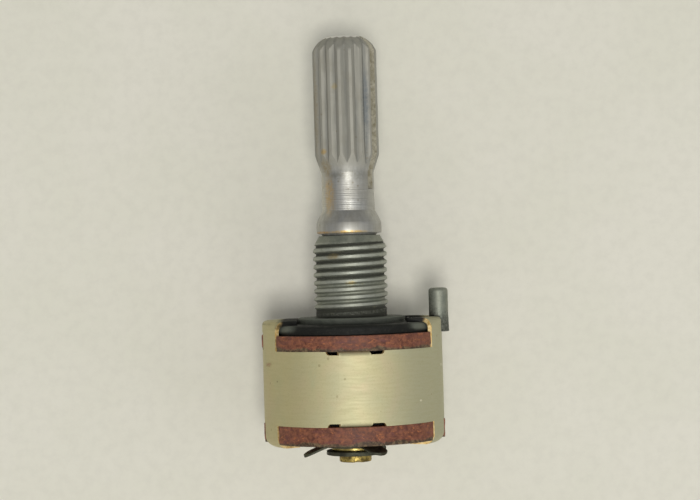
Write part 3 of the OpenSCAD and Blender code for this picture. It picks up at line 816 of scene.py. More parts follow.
class Palette:
    """Makes every finish of the potentiometer from a few shared effects."""

    def __init__(self) -> None:
        """Builds each shared effect once."""
        self.stain, self.specks = stain_group(), speck_group()
        self.lathe, self.blob = lathe_group(), blob_group()

    def _spots(self, net: Finish, colour: Socket, spots: Sequence[Spot]) -> Socket:
        """Lays the single spots over a colour: stains, and a few patches of painted highlight and painted
        shade.
        """
        for spot in spots:
            place = tuple(float(v) for v in lay(np.array(spot.place)))
            x, y, z = (1.0 / (half * MM) for half in spot.size)
            mask = net.use(self.blob, Place=place, Inverse_Size=(x, z, y))
            colour = net.mix(net.times(mask, spot.strength), colour, spot.colour)
        return colour

    def aluminium(self) -> Material:
        """Worn aluminium: grey, with lathe lines, dull clouds, dirt and painted shade in the knurl's grooves
        and on the journal under the collar, a painted highlight on the tip's rim, and brown stains and a
        painted highlight among its spots.
        """
        net = Finish("worn_aluminium")
        mark, dull = net.mark(), net.span(net.parts(net.where)[1], 0.0132, 0.0146)
        lines = net.use(self.lathe, Pitch=7000.0, Blur=0.03)
        streak = net.cloud(2600.0, 5.0, 0.65, stretch=(1.0, 0.12, 1.0))
        cloud = net.use(self.stain, Scale=420.0, Threshold=0.42, Softness=0.24)
        # dirt and painted shade: darker in the knurl's grooves and on the journal in the gap under the collar
        grime = net.times(net.span(mark, 0.2, 1.0), net.span(streak, 0.3, 0.62, 0.2, 0.65))
        colour = net.coats(
            net.mix(lines, (172, 172, 168), (198, 197, 192)),
            (dull, (164, 162, 151)),
            (net.span(streak, 0.35, 0.7, 0.0, 0.4), (138, 137, 128)),
            (net.times(cloud, 0.35), (158, 153, 138)),
            (grime, (104, 105, 100)),
            # painted highlight: the tip's rim rows carry a negative mark and get a light tone
            (net.span(mark, -0.2, -0.6), (232, 230, 222)),
        )
        dots = net.use(self.specks, Scale=2200.0, Size=0.22, Share=0.1)
        colour = net.mix(net.times(dots, 0.35), self._spots(net, colour, SHAFT_SPOTS), (112, 98, 70))
        dirty = net.times(net.math("MAXIMUM", grime, dull), 0.16)
        rough = net.plus(net.span(cloud, 0.0, 1.0, 0.46, 0.56), dirty)
        shine = net.minus(net.span(grime, 0.0, 1.0, 0.92, 0.35), net.times(dull, 0.52))
        height = net.plus(net.times(lines, 0.6), net.cloud(5200.0, 4.0, 0.6))
        return net.done(colour, rough, Metallic=shine, Normal=net.bump(height, 0.16, 0.02))

    def zinc(self) -> Material:
        """Stained zinc casting: grey-olive, with bright worn crests, and dirt and painted shade where it is
        low: darker in the thread's roots, at the thread's foot by the boss, and on the pin's left side and
        foot.
        """
        net = Finish("zinc_casting")
        mark, cloud, fine = net.mark(), net.cloud(900.0, 6.0, 0.62, 0.4), net.cloud(5200.0, 4.0, 0.7)
        # dirt and painted shade: the mark darkens the thread's roots, its foot by the boss, and the pin's
        # left side and foot
        grime = net.span(net.plus(mark, net.times(net.minus(fine, 0.5), 0.7)), 0.4, 0.9)
        worn = net.span(net.minus(net.times(fine, 0.5), mark), 0.1, 0.28)
        rust = net.use(self.stain, Scale=1700.0, Threshold=0.62, Softness=0.12)
        colour = net.coats(
            net.mix(net.span(cloud, 0.32, 0.68), (130, 134, 122), (152, 154, 140)),
            (net.span(fine, 0.45, 0.75, 0.0, 0.35), (100, 102, 90)),
            (grime, (52, 53, 44)),
            (net.times(worn, 0.45), (196, 198, 186)),
            (net.times(rust, 0.4), (122, 112, 74)),
        )
        colour = self._spots(net, colour, CASTING_SPOTS)
        rough = net.plus(net.span(cloud, 0.3, 0.7, 0.5, 0.63), net.times(grime, 0.2))
        shine = net.span(grime, 0.0, 1.0, 0.65, 0.15)
        return net.done(colour, rough, Metallic=shine, Normal=net.bump(fine, 0.35, 0.03))

    def soot_and_shade(self) -> Material:
        """Oily dirt and painted shade over the plate and the boss: very dark in the corners and under the
        cover, grey-green where there is little dirt, and lighter on the boss's rim and the plate's rounded
        ends as painted highlights.
        """
        net = Finish("oily_shaded_zinc")
        cloud, fine = net.cloud(1300.0, 5.0, 0.65, 0.5), net.cloud(6200.0, 4.0, 0.7)
        # dirt and painted shade: dark where the mark is low, lighter where it is high
        clean_and_lit = net.plus(net.mark(), net.times(net.minus(cloud, 0.5), 0.6))
        colour = net.mix(net.span(clean_and_lit, 0.1, 0.9), (24, 25, 22), (102, 106, 96))
        colour = net.mix(net.span(fine, 0.5, 0.78, 0.0, 0.3), colour, (84, 84, 70))
        rough = net.span(cloud, 0.3, 0.7, 0.55, 0.75)
        return net.done(colour, rough, Specular_IOR_Level=0.25, Normal=net.bump(fine, 0.35, 0.03))

    def chromate(self) -> Material:
        """Yellow chromate on rolled steel: khaki that drifts to green, gold and pink, with rolling lines,
        painted shade towards both sides and at the ends of the front tabs, and painted shade and glints among
        its spots.
        """
        net = Finish("yellow_chromate")
        drift = net.cloud(170.0, 3.0, 0.5, 1.2, stretch=(1.0, 0.8, 1.0))
        second = net.cloud(260.0, 3.0, 0.55, 0.8, stretch=(1.3, 0.9, 1.3), place=(0.02, 0.01, 0.03))
        rolled = net.cloud(5200.0, 4.0, 0.6, stretch=(0.12, 1.0, 0.12))
        fine = net.cloud(6800.0, 3.0, 0.6)
        aside = net.parts(net.where)[0]
        dots = net.use(self.specks, Scale=1300.0, Size=0.16, Share=0.12)
        colour = net.coats(
            net.mix(net.span(drift, 0.36, 0.64), (199, 191, 149), (193, 188, 151)),
            (net.span(second, 0.5, 0.72, 0.0, 0.5), (204, 186, 152)),
            (net.span(second, 0.48, 0.3, 0.0, 0.5), (184, 188, 150)),
            # painted shade towards both sides of the cover: greyer on the right, yellower on the left
            (net.span(aside, 0.002, 0.0065, 0.0, 0.75), (176, 174, 146)),
            (net.span(aside, -0.003, -0.006, 0.0, 0.45), (187, 175, 126)),
            (net.span(rolled, 0.35, 0.7, 0.0, 0.12), (170, 162, 116)),
            (net.span(fine, 0.5, 0.8, 0.0, 0.35), (158, 150, 110)),
            (net.times(dots, 0.35), (120, 104, 66)),
        )
        # painted shade at the ends of the front tabs
        black = self._painted_tab_shade(net)
        colour = net.mix(black, self._spots(net, colour, COVER_SPOTS), (38, 38, 32))
        rough = net.plus(net.span(rolled, 0.3, 0.7, 0.57, 0.63), net.times(black, 0.2))
        bump = net.bump(net.plus(rolled, net.times(fine, 0.5)), 0.08, 0.02)
        return net.done(colour, rough, Metallic=0.5, Normal=bump)

    @staticmethod
    def _painted_tab_shade(net: Finish) -> Socket:
        """Mask of the painted shade at the ends of the front tabs: near the shaft and the front face."""
        across, along, _ = net.parts(net.where)
        side = net.plus(net.math("ABSOLUTE", across), net.times(net.cloud(1200.0, 4.0, 0.6), 0.0012))
        return net.times(net.span(side, 0.0076, 0.0069), net.span(along, -0.00095, -0.0008))

    def cut_edge(self) -> Material:
        """Cut edge of the plated sheet: gold, brighter and rougher than the face, with painted shade near the
        ends of the front tabs.
        """
        net = Finish("gold_cut_edge")
        fine = net.cloud(3800.0, 5.0, 0.65)
        colour = net.coats(
            net.mix(net.span(fine, 0.35, 0.65), (214, 178, 104), (244, 220, 164)),
            (net.span(net.cloud(1500.0), 0.56, 0.7, 0.0, 0.6), (132, 94, 48)),
            # painted shade at the ends of the front tabs
            (self._painted_tab_shade(net), (30, 30, 26)),
        )
        return net.done(colour, 0.5, Metallic=0.45, Normal=net.bump(fine, 0.4, 0.03))

    @staticmethod
    def laminate(name: str, low: float | None = None) -> Material:
        """Red-brown phenolic paper: mottled fibres, orange flecks, and an olive band low on a cut edge, along
        its rear face.

        Args:
            name: Name of the material.
            low: Height of the board's rear face in millimetres, on a cut edge.

        Returns:
            The material.
        """
        net, edge = Finish(name), low is not None
        layer = net.cloud(1500.0, 6.0, 0.65, 0.5, stretch=(0.5, 2.2, 0.5))
        mottle = net.cloud(2300.0, 6.0, 0.68, 0.6)
        fleck = net.cloud(3400.0, 5.0, 0.7, 0.4, stretch=(0.7, 1.2, 0.7), place=(0.01, 0.0, 0.02))
        colour = net.coats(
            net.mix(net.span(mottle, 0.3, 0.7), (84, 48, 38), (140, 88, 64)),
            (net.span(layer, 0.45, 0.72, 0.0, 0.55), (112, 68, 68)),
            (net.span(fleck, 0.54, 0.7, 0.0, 0.75 if edge else 0.3), (182, 112, 68)),
            (net.span(fleck, 0.4, 0.22, 0.0, 0.7), (72, 42, 42)),
        )
        if edge:
            wide = net.cloud(360.0, 5.0, 0.6, stretch=(1.0, 0.3, 0.3))
            reach = net.span(wide, 0.4, 0.66, (low + 0.14) * MM, (low + 0.46) * MM)
            # an olive band low on the cut edge, along the board's rear face
            dirt = net.span(net.minus(reach, net.parts(net.where)[1]), -0.0001, 0.00012)
            olive = net.mix(net.span(mottle, 0.42, 0.62), (54, 50, 38), (112, 100, 74))
            colour = net.mix(net.times(dirt, 0.8), colour, olive)
        bump = net.bump(net.plus(layer, net.times(fleck, 0.6)), 0.6 if edge else 0.15, 0.05)
        return net.done(colour, net.span(mottle, 0.3, 0.7, 0.5, 0.68), Specular_IOR_Level=0.3, Normal=bump)

    def metal(self, name: str) -> Material:
        """A small metal piece: two tones in clouds, fine grain, grime in patches."""
        net, kind = Finish(name), METALS[name]
        cloud, fine = net.cloud(kind.scale, 5.0, 0.6, 0.4), net.cloud(kind.scale * 6.0, 4.0, 0.65)
        mask = net.use(self.stain, Scale=kind.scale * 1.7, Threshold=0.5, Softness=0.16)
        colour = net.coats(
            net.mix(net.span(cloud, 0.32, 0.68), kind.dark, kind.light),
            (net.times(mask, kind.dirt), kind.grime),
            (net.span(fine, 0.5, 0.8, 0.0, 0.3), kind.dark),
        )
        rough = net.plus(net.span(fine, 0.3, 0.7, *kind.rough), net.times(mask, 0.1 * kind.dirt))
        return net.done(colour, rough, Metallic=kind.metallic, Normal=net.bump(fine, 0.25, 0.02))

    @staticmethod
    def plastic(name: str, light: Tone, dark: Tone, rough: float, scale: float) -> Material:
        """A moulded or printed matt surface with a faint grain.

        Args:
            name: Name of the material.
            light: Its lighter tone.
            dark: Its darker tone.
            rough: Its roughness.
            scale: Size of the grain, as a noise scale.

        Returns:
            The material.
        """
        net = Finish(name)
        grain = net.cloud(scale, 5.0, 0.6)
        colour = net.mix(net.span(grain, 0.35, 0.65), dark, light)
        uneven = net.span(grain, 0.3, 0.7, rough - 0.06, rough + 0.08)
        return net.done(colour, uneven, Normal=net.bump(grain, 0.2, 0.02))

    @staticmethod
    def floor() -> Material:
        """Pale warm paper with faint mottling."""
        net = Finish("pale_paper")
        cloud, grain = net.cloud(60.0, 5.0, 0.6), net.cloud(900.0, 4.0, 0.6)
        colour = net.mix(net.span(cloud, 0.3, 0.7), (223, 221, 206), (227, 224, 211))
        colour = net.mix(net.span(grain, 0.35, 0.75, 0.0, 0.3), colour, (209, 206, 193))
        return net.done(colour, 0.9)


# The turning side


@dataclass
class KnobShaft:
    """Split knurled shaft: journal, collar, neck, eighteen teeth and a slot right through the tip."""

    teeth: int = 18
    groove: float = 0.3
    land: float = 0.26
    root_round: float = 0.12
    neck_r: float = 2.46
    neck_cut: float = 0.012
    neck_low: float = 9.9
    knurl_low: float = 13.5
    cone: float = 1.65
    tip_flat_r: float = 1.62
    tip_length: float = 1.36
    slot_w: float = 0.85
    slot_low: float = 11.9
    slot_turn: float = -30.0
    collar_low: float = 7.8
    collar_top: float = 8.8
    collar_r: float = 3.03
    journal_r: float = 2.25
    fillet_r: float = 2.6
    knurl_r: float = 3.0
    line_pitch: float = 0.17
    second_pitch: float = 0.271
    line_depth: float = 0.008
    wide_groove: float = -50.0
    wide_spread: float = 7.0
    wide_depth: float = 0.06
    wear: float = 0.012
    fade_rows: int = 8
    # rows at the tip's rim and their negative mark: a painted highlight
    highlight_rows: int = 4
    bright: float = -0.6

    def _star(self, turn: Array) -> Array:
        """Radius of the knurl: a land round each point, then a straight V to the root, one a bit wider."""
        off = np.abs((turn / (2.0 * math.pi / self.teeth) + 0.5) % 1.0 - 0.5) * 2.0
        depth = np.clip((off - self.land) / (1.0 - self.land), 0.0, 1.0)
        away = (np.degrees(turn) - self.wide_groove + 180.0) % 360.0 - 180.0
        wide = self.wide_depth * np.exp(-((away / self.wide_spread) ** 2))
        return self.knurl_r - self.groove * (depth - self.root_round * smooth_step(0.7, 1.0, depth)) - wide

    def _tip(self, steps: int, top: float) -> Array:
        """Half straight, half elliptic rounding from the knurl to the flat of the tip."""
        t = np.linspace(0.0, 1.0, steps)
        drop = self.knurl_r - self.tip_flat_r
        radius = self.knurl_r - drop * (0.5 * t + 0.5 * (1.0 - np.cos(t * math.pi / 2)))
        height = top - self.tip_length + self.tip_length * (0.5 * t + 0.5 * np.sin(t * math.pi / 2))
        return np.stack([radius, height], axis=1)

    def _columns(self, first: float, gap: float) -> Array:
        """Angles of one half's columns: the slot's walls, and places on every land, flank and root."""
        pitch = 2.0 * math.pi / self.teeth
        shares = np.array([0.0, 0.13, 0.26, 0.4, 0.6, 0.8, 1.0])
        tooth = np.arange(-1, self.teeth)[:, None]
        both = np.concatenate([tooth + 0.5 * shares, tooth + 1.0 - 0.5 * shares[:-1]], axis=1) * pitch
        turns = np.unique(np.round(both + math.floor(first / pitch) * pitch, 9))
        turns = turns[(turns > first + gap * 1.25) & (turns < first + math.pi - gap * 1.25)]
        return np.concatenate([[first + gap], turns, [first + math.pi - gap]])

    def _half(self, draft: Draft, side: float, top: float) -> None:
        """Adds one half of the split tip: outer wall, flat slot wall and the two ends.

        Each column has one angle, and its rows follow the neck, the cone up to where the column's own
        radius is reached, the tooth, and the rounding of the tip. The first and last column lie on
        the slot's wall.
        """
        first = math.radians(self.slot_turn + side)
        turns = self._columns(first, math.asin(self.slot_w / 2 / self.neck_r))
        reach, level = self._star(turns), 0.0 * turns
        cone_top = self.knurl_low + self.cone * (reach - self.neck_r) / (self.knurl_r - self.neck_r)
        tip = self._tip(40, top)
        tip_low = np.interp(-reach, -tip[:, 0], tip[:, 1])
        rows = np.linspace(self.slot_low, self.knurl_low, 41)[:-1, None] + level
        neck = np.stack([self._neck(rows), rows], axis=-1)
        t = np.linspace(0.0, 1.0, 9)[:-1, None]
        foot = [self.neck_r + (reach - self.neck_r) * t, self.knurl_low + (cone_top - self.knurl_low) * t]
        t = np.linspace(0.0, 1.0, 61)[:-1, None]
        worn = self.wear * ripple(5, 3.0 * turns[None, :], 9.0 * t + level, waves=9, reach=3.0)
        tooth = [reach + worn * np.sin(math.pi * t), cone_top + (tip_low - cone_top) * t]
        t = np.linspace(0.0, 1.0, 13)[:, None]
        end = tip_low + (top - tip_low) * (1.0 - (1.0 - t) ** 1.4)
        ends = [np.interp(end, tip[:, 1], tip[:, 0]), end]
        section = np.concatenate([neck] + [np.stack(part, axis=-1) for part in (foot, tooth, ends)])
        radius, height = section[..., 0], section[..., 1]
        turn = np.broadcast_to(turns, radius.shape).copy()
        lean = np.arcsin(np.clip(self.slot_w / 2 / radius, 0.0, 0.95))
        turn[:, 0], turn[:, -1] = first + lean[:, 0], first + math.pi - lean[:, -1]
        wall = polar(radius, turn, height)
        mark = np.zeros(radius.shape)
        # the groove's depth as the mark: dirt and painted shade in the grooves
        mark[len(neck) + len(foot[0]) :] = np.clip((self.knurl_r - reach) / self.groove, 0.0, 1.0)
        mark[-self.fade_rows :] *= np.linspace(1.0, 0.0, self.fade_rows)[:, None]
        # painted highlight on the tip's rim: a negative mark, which the aluminium paints light
        mark[-self.highlight_rows :] = self.bright
        draft.grid(wall, mark=mark)
        share = np.linspace(0.0, 1.0, 9)[None, :, None]
        draft.grid(wall[:, :1] * (1 - share) + wall[:, -1:] * share, finish=1)
        for row, grime in ((0, 0.0), (-1, 0.1)):
            start, stop = wall[row, 0], wall[row, -1]
            chord = start + np.linspace(0.0, 1.0, len(turns))[:, None] * (stop - start)
            draft.grid(np.stack([wall[row], 0.5 * (wall[row] + chord), chord]), mark=grime)

    def _neck(self, height: Array) -> Array:
        """Radius of the neck, with fine turned lines that fade towards the knurl."""
        fade = 1.0 - smooth_step(self.neck_low + 1.6, self.knurl_low - 0.4, height)
        turn = 2.0 * math.pi * height
        lines = np.sin(turn / self.line_pitch) + 0.5 * np.sin(turn / self.second_pitch)
        return self.neck_r - self.neck_cut + self.line_depth * lines * fade

    def _stem(self, draft: Draft, low: float) -> None:
        """Adds the round part below the slot: journal, collar, bulging cone and neck."""
        t = np.linspace(0.0, 1.0, 14)
        bulging = self.collar_r - (self.collar_r - self.neck_r) * t + 0.03 * np.sin(math.pi * t)
        cone = np.stack([bulging, self.collar_top + (self.neck_low - self.collar_top) * t], axis=1)
        height = np.arange(self.neck_low, self.slot_low, 0.03)
        neck = np.stack([self._neck(height), height], axis=1)[1:]
        foot = self.collar_low
        lower = soft_profile([
            (0.0, low, 0.0), (self.journal_r, low, 0.08), (self.journal_r, foot - 0.52, 0.05),
            (self.fillet_r, foot - 0.04, 0.0), (self.fillet_r, foot, 0.0),
            (self.collar_r, foot, 0.2), (self.collar_r, foot + 0.3, 0.0),
        ])
        top = np.array([[self.neck_r - self.neck_cut, self.slot_low], [0.0, self.slot_low]])
        profile = np.concatenate([lower, cone, neck, top])
        # mark 1 on the journal below the collar: painted shade in the gap over the bushing
        draft.grid(revolve(profile, 180), wrap=True, mark=(profile[:, 1:] < foot + 0.02).astype(float))

    def build(self, shop: Workshop, finish: Material, slot_wall: Material) -> None:
        """Builds the shaft from its round stem and the two halves of its tip."""
        low, high = standing_box("knob_shaft")
        draft = Draft()
        self._stem(draft, low[2])
        for side in (0.0, 180.0):
            self._half(draft, side, high[2])
        finishes = [finish, slot_wall]
        shop.piece("split_knurled_shaft", draft, Body.SHAFT, ["knob_shaft"], finishes, 28.0)


@dataclass
class SpindleAndRing:
    """What shows of the spindle behind the housing, and the ring in its groove."""

    spindle_r: float = 1.75
    flats: float = 2.6
    stub_r: float = 1.5
    groove_r: float = 1.15
    groove_play: float = 0.01
    shoulder: float = -9.3
    round_low: float = -1.4
    chamfer: float = 0.16
    rim: float = 0.9
    mouth: float = 2.4
    prong: float = 0.9
    grip_r: float = 1.17

    def _outline(self, radius: float) -> Array:
        """Outline of the ring: outer arc, the mouth's two ends, and three prongs on the inner arc."""
        inner = radius - self.rim
        lip, heel = (math.degrees(math.asin(self.mouth / 2 / r)) for r in (radius, inner))
        side, grip = (math.degrees(math.asin(self.prong / 2 / r)) for r in (inner, self.grip_r))
        run = [arc((0, 0), radius, lip, 360.0 - lip, 90)]
        start = 360.0 - heel
        for middle in (270.0, 180.0, 90.0):
            run.append(arc((0, 0), inner, start, middle + side, 14))
            run.append(arc((0, 0), self.grip_r, middle + grip, middle - grip, 8))
            start = middle - side
        run.append(arc((0, 0), inner, start, heel, 14))
        return np.concatenate(run)

    def build(self, shop: Workshop, brass: Material, steel: Material) -> None:
        """Builds the spindle, with its groove, stub and nick, and the three-pronged ring."""
        low, high = (corner[2] for corner in standing_box("drive_spindle"))
        ring_low, ring_high = standing_box("retaining_ring")
        groove = (ring_low[2] - self.groove_play, ring_high[2] + self.groove_play)
        profile = soft_profile([
            (0.0, low, 0.0), (self.stub_r, low, self.chamfer), (self.stub_r, groove[0], 0.03),
            (self.groove_r, groove[0], 0.02), (self.groove_r, groove[1], 0.02),
            (self.stub_r, groove[1], 0.03), (self.stub_r, self.shoulder, 0.04),
            (self.spindle_r, self.shoulder, 0.06), (self.spindle_r, high, 0.1), (0.0, high, 0.0),
        ])
        grid = revolve(self._with_rows(profile), 120)
        x, y, z = (grid[..., k] for k in range(3))
        flat = (z > self.shoulder + 0.02) & (z < self.round_low)
        y[flat] = np.clip(y[flat], -self.flats / 2, self.flats / 2)
        nick = np.exp(-(((x - 0.25) / 0.22) ** 2 + ((y + self.stub_r) / 0.3) ** 2))
        z += np.where(z < low + 0.2, 0.12 * nick * smooth_step(0.6, 1.4, np.hypot(x, y)), 0.0)
        draft = Draft()
        draft.grid(grid, wrap=True)
        shop.piece("grooved_spindle", draft, Body.SHAFT, ["drive_spindle"], [brass])
        draft = Draft()
        outline = evenly(self._outline(ring_high[0]), 0.16)
        add_plate(draft, outline, [], ring_low[2], ring_high[2], 0.07)
        shop.piece("three_prong_ring", draft, Body.SHAFT, ["retaining_ring"], [steel])

    def _with_rows(self, profile: Array) -> Array:
        """Adds rows at the two ends of the flats and on the end face, so that they are cut cleanly."""
        at = np.flatnonzero((profile[:-1, 1] < self.round_low) & (profile[1:, 1] > self.round_low))[0]
        cuts = np.array([self.shoulder + 0.1, self.round_low - 0.001, self.round_low])
        rows = np.stack([np.full(3, profile[at, 0]), cuts], axis=1)
        face = np.linspace(0.0, self.stub_r - self.chamfer, 14)[1:-1]
        disc = np.stack([face, np.full(len(face), profile[0, 1])], axis=1)
        return np.concatenate([profile[:1], disc, profile[1 : at + 1], rows, profile[at + 1 :]])


# The fixed side


@dataclass
class BushingAndPlate:
    """Zinc casting: plate, boss, threaded bushing and locating pin in one piece."""

    crest_r: float = 3.45
    pitch: float = 0.75
    thread_depth: float = 0.28
    thread_low: float = 0.72
    thread_start: float = 0.21
    crest: float = 0.26
    root: float = 0.84
    chamfer: float = 0.6
    chamfer_length: float = 1.05
    bore_r: float = 2.29
    bore_chamfer: float = 0.12
    boss_r: float = 5.0
    boss_low: float = -0.55
    plate_r: float = 7.7
    pin_r: float = 0.9
    pin_x: float = 8.16
    pin_top: float = 2.5
    pin_foot: float = 0.05
    ear_x: float = 6.6
    steps: int = 20
    thread_dirt_and_shade: tuple = ((0.9, 1.6, 3.0, 3.8, 6.6, 7.2), (0.8, 0.3, 0.4, 0.95, 1.0, 0.8))
    # the plate's mark by radius: dirt with painted shade in the corners, painted highlights on the boss's rim
    # and the plate's rounded edge
    plate_clean_and_lit: tuple = (
        (3.3, 3.8, 4.8, 4.93, 5.02, 5.2, 6.9, 7.5), (0.15, 0.4, 0.6, 1.0, 0.45, 0.0, 0.1, 0.95)
    )
    pin_dirt_and_shade: tuple = ((-0.6, 0.2, 1.0, 2.5), (0.75, 0.5, 0.28, 0.2))

    def _thread(self, draft: Draft, top: float) -> tuple[Array, Array]:
        """Adds the threaded wall on rows that climb with the thread, and gives its two end rings.

        The height of a point is its row plus the pitch times its turn, so crests and roots follow the
        rows. The radius falls from crest to root along a V with a rounded bottom, fades to the core
        at the foot and is cut by the chamfer's cone at the top.
        """
        turn = np.linspace(0.0, 2.0 * math.pi, 145)[None, :]
        row = np.arange(-self.steps, math.ceil(top / self.pitch * self.steps) + 1)[:, None]
        height = np.clip(self.pitch * (row / self.steps + turn / (2.0 * math.pi)), 0.0, top)
        phase = ((height - self.thread_start) / self.pitch - turn / (2.0 * math.pi)) % 1.0
        valley = smooth_step(self.crest, self.root, np.abs(phase - 0.5) * 2.0)
        around = (2.0 * f(turn) + 0.0 * height for f in (np.cos, np.sin))
        worn = 0.02 * ripple(11, *around, height, reach=3.0)
        full = self.crest_r - self.thread_depth * valley + worn * (1.0 - valley)
        core = self.crest_r - self.thread_depth * 0.5
        full = core + (full - core) * smooth_step(self.thread_low - 0.3, self.thread_low + 0.35, height)
        length = self.chamfer_length
        cone = self.crest_r - self.chamfer * np.clip((height - top + length) / length, 0.0, 1.0)
        points = polar(np.minimum(full, cone), turn, height)
        # dirt and painted shade in the thread's roots; the next line adds painted shade at the foot by the
        # boss
        mark = np.where(height > top - 0.62, 0.36, valley**1.4 * np.interp(height, *self.thread_dirt_and_shade))
        draft.grid(points, mark=mark + 0.8 * smooth_step(0.95, 0.6, height))
        rim, bore = points[-1], points[-1].copy()
        bore[:, :2] *= ((self.bore_r + self.bore_chamfer) / np.hypot(rim[:, 0], rim[:, 1]))[:, None]
        draft.grid(np.stack([rim, bore]), mark=0.45)
        return points[0], bore

    def _casting(self, draft: Draft, low: float, top: float, foot: Array, bore: Array) -> None:
        """Adds the turned rest of the casting: boss, plate, underside and bore."""
        turn = np.arctan2(foot[:, 1], foot[:, 0])
        profile = soft_profile([
            (np.hypot(*foot[0, :2]), 0.0, 0.0), (self.boss_r, 0.0, 0.14), (self.boss_r, self.boss_low, 0.12),
            (self.plate_r, self.boss_low, 0.42), (self.plate_r, low, 0.1),
            (self.bore_r, low, 0.1), (self.bore_r, top - self.bore_chamfer, 0.0),
        ], steps=8)
        radius, height = profile[:, :1], profile[:, 1:]
        around = (1.3 * radius * f(turn) for f in (np.cos, np.sin))
        worn = 0.015 * ripple(3, *around, height + 0.0 * turn, reach=2.0)
        lift = np.where((radius > 3.3) & (radius < 7.5) & (height > -1.0), worn, 0.0)
        points = polar(radius, turn, height + lift)
        points[0] = foot
        # painted light and shade with the dirt: light on the boss's rim and the plate's rounded ends at left
        # and right, very dark between
        clean_and_lit = np.interp(radius, *self.plate_clean_and_lit)
        clean_and_lit = np.where(height < self.boss_low - 0.45, 0.0, clean_and_lit) + 0.0 * turn
        clean_and_lit *= np.where(radius > 6.0, smooth_step(4.4, 6.4, np.abs(points[..., 0])), 1.0)
        clean_and_lit = np.concatenate([clean_and_lit, np.full_like(clean_and_lit[:1], 0.3)])
        draft.grid(np.concatenate([points, bore[None]]), finish=1, mark=clean_and_lit)

    def _pin(self, draft: Draft, low: float, ear_low: float) -> None:
        """Adds the locating pin, round, with a soft top, and the ear that carries it."""
        top, foot_r = self.pin_top, self.pin_r + self.pin_foot
        profile = soft_profile([
            (0.0, low, 0.0), (foot_r, low, 0.08), (self.pin_r, 0.0, 0.4),
            (self.pin_r, top, 0.36), (0.0, top, 0.0),
        ], steps=9)
        at = int(np.argmax(profile[:, 1] > 0.3))
        straight = np.stack([np.full(16, self.pin_r), np.linspace(0.35, top - 0.42, 16)], axis=1)
        profile = np.concatenate([profile[:at], straight, profile[profile[:, 1] > top - 0.4]])
        grid = revolve(profile, 64)
        grid[..., 0] += self.pin_x
        # painted shade: darker towards the pin's foot and on its left side
        side = smooth_step(self.pin_x, self.pin_x - self.pin_r, grid[..., 0]) * (grid[..., 2] < top - 0.1)
        draft.grid(grid, wrap=True, mark=np.interp(grid[..., 2], *self.pin_dirt_and_shade) + 0.3 * side)
        half = self.pin_r - 0.2
        ear = np.array([[self.ear_x, -half], [self.pin_x, -half], [self.pin_x, half], [self.ear_x, half]])
        add_plate(draft, evenly(ear, 0.4), [], ear_low, self.boss_low - 0.02, 0.06)

    def build(self, shop: Workshop, finish: Material, soot_and_shade: Material) -> None:
        """Builds the casting in the place of the mounting plate."""
        low, high = (corner[2] for corner in standing_box("mounting_plate"))
        plate_low = standing_box("front_board")[1][2]
        draft = Draft()
        foot, bore = self._thread(draft, high)
        self._casting(draft, plate_low, high, foot, bore)
        self._pin(draft, low, plate_low)
        finishes = [finish, soot_and_shade]
        shop.piece("bushing_and_plate", draft, Body.HOUSING, ["mounting_plate"], finishes, 40.0)


TAB_ROWS, BEND_ROWS = 9, 12
LUG_PITCH = 5.0
FRONT_TURN = 1.6


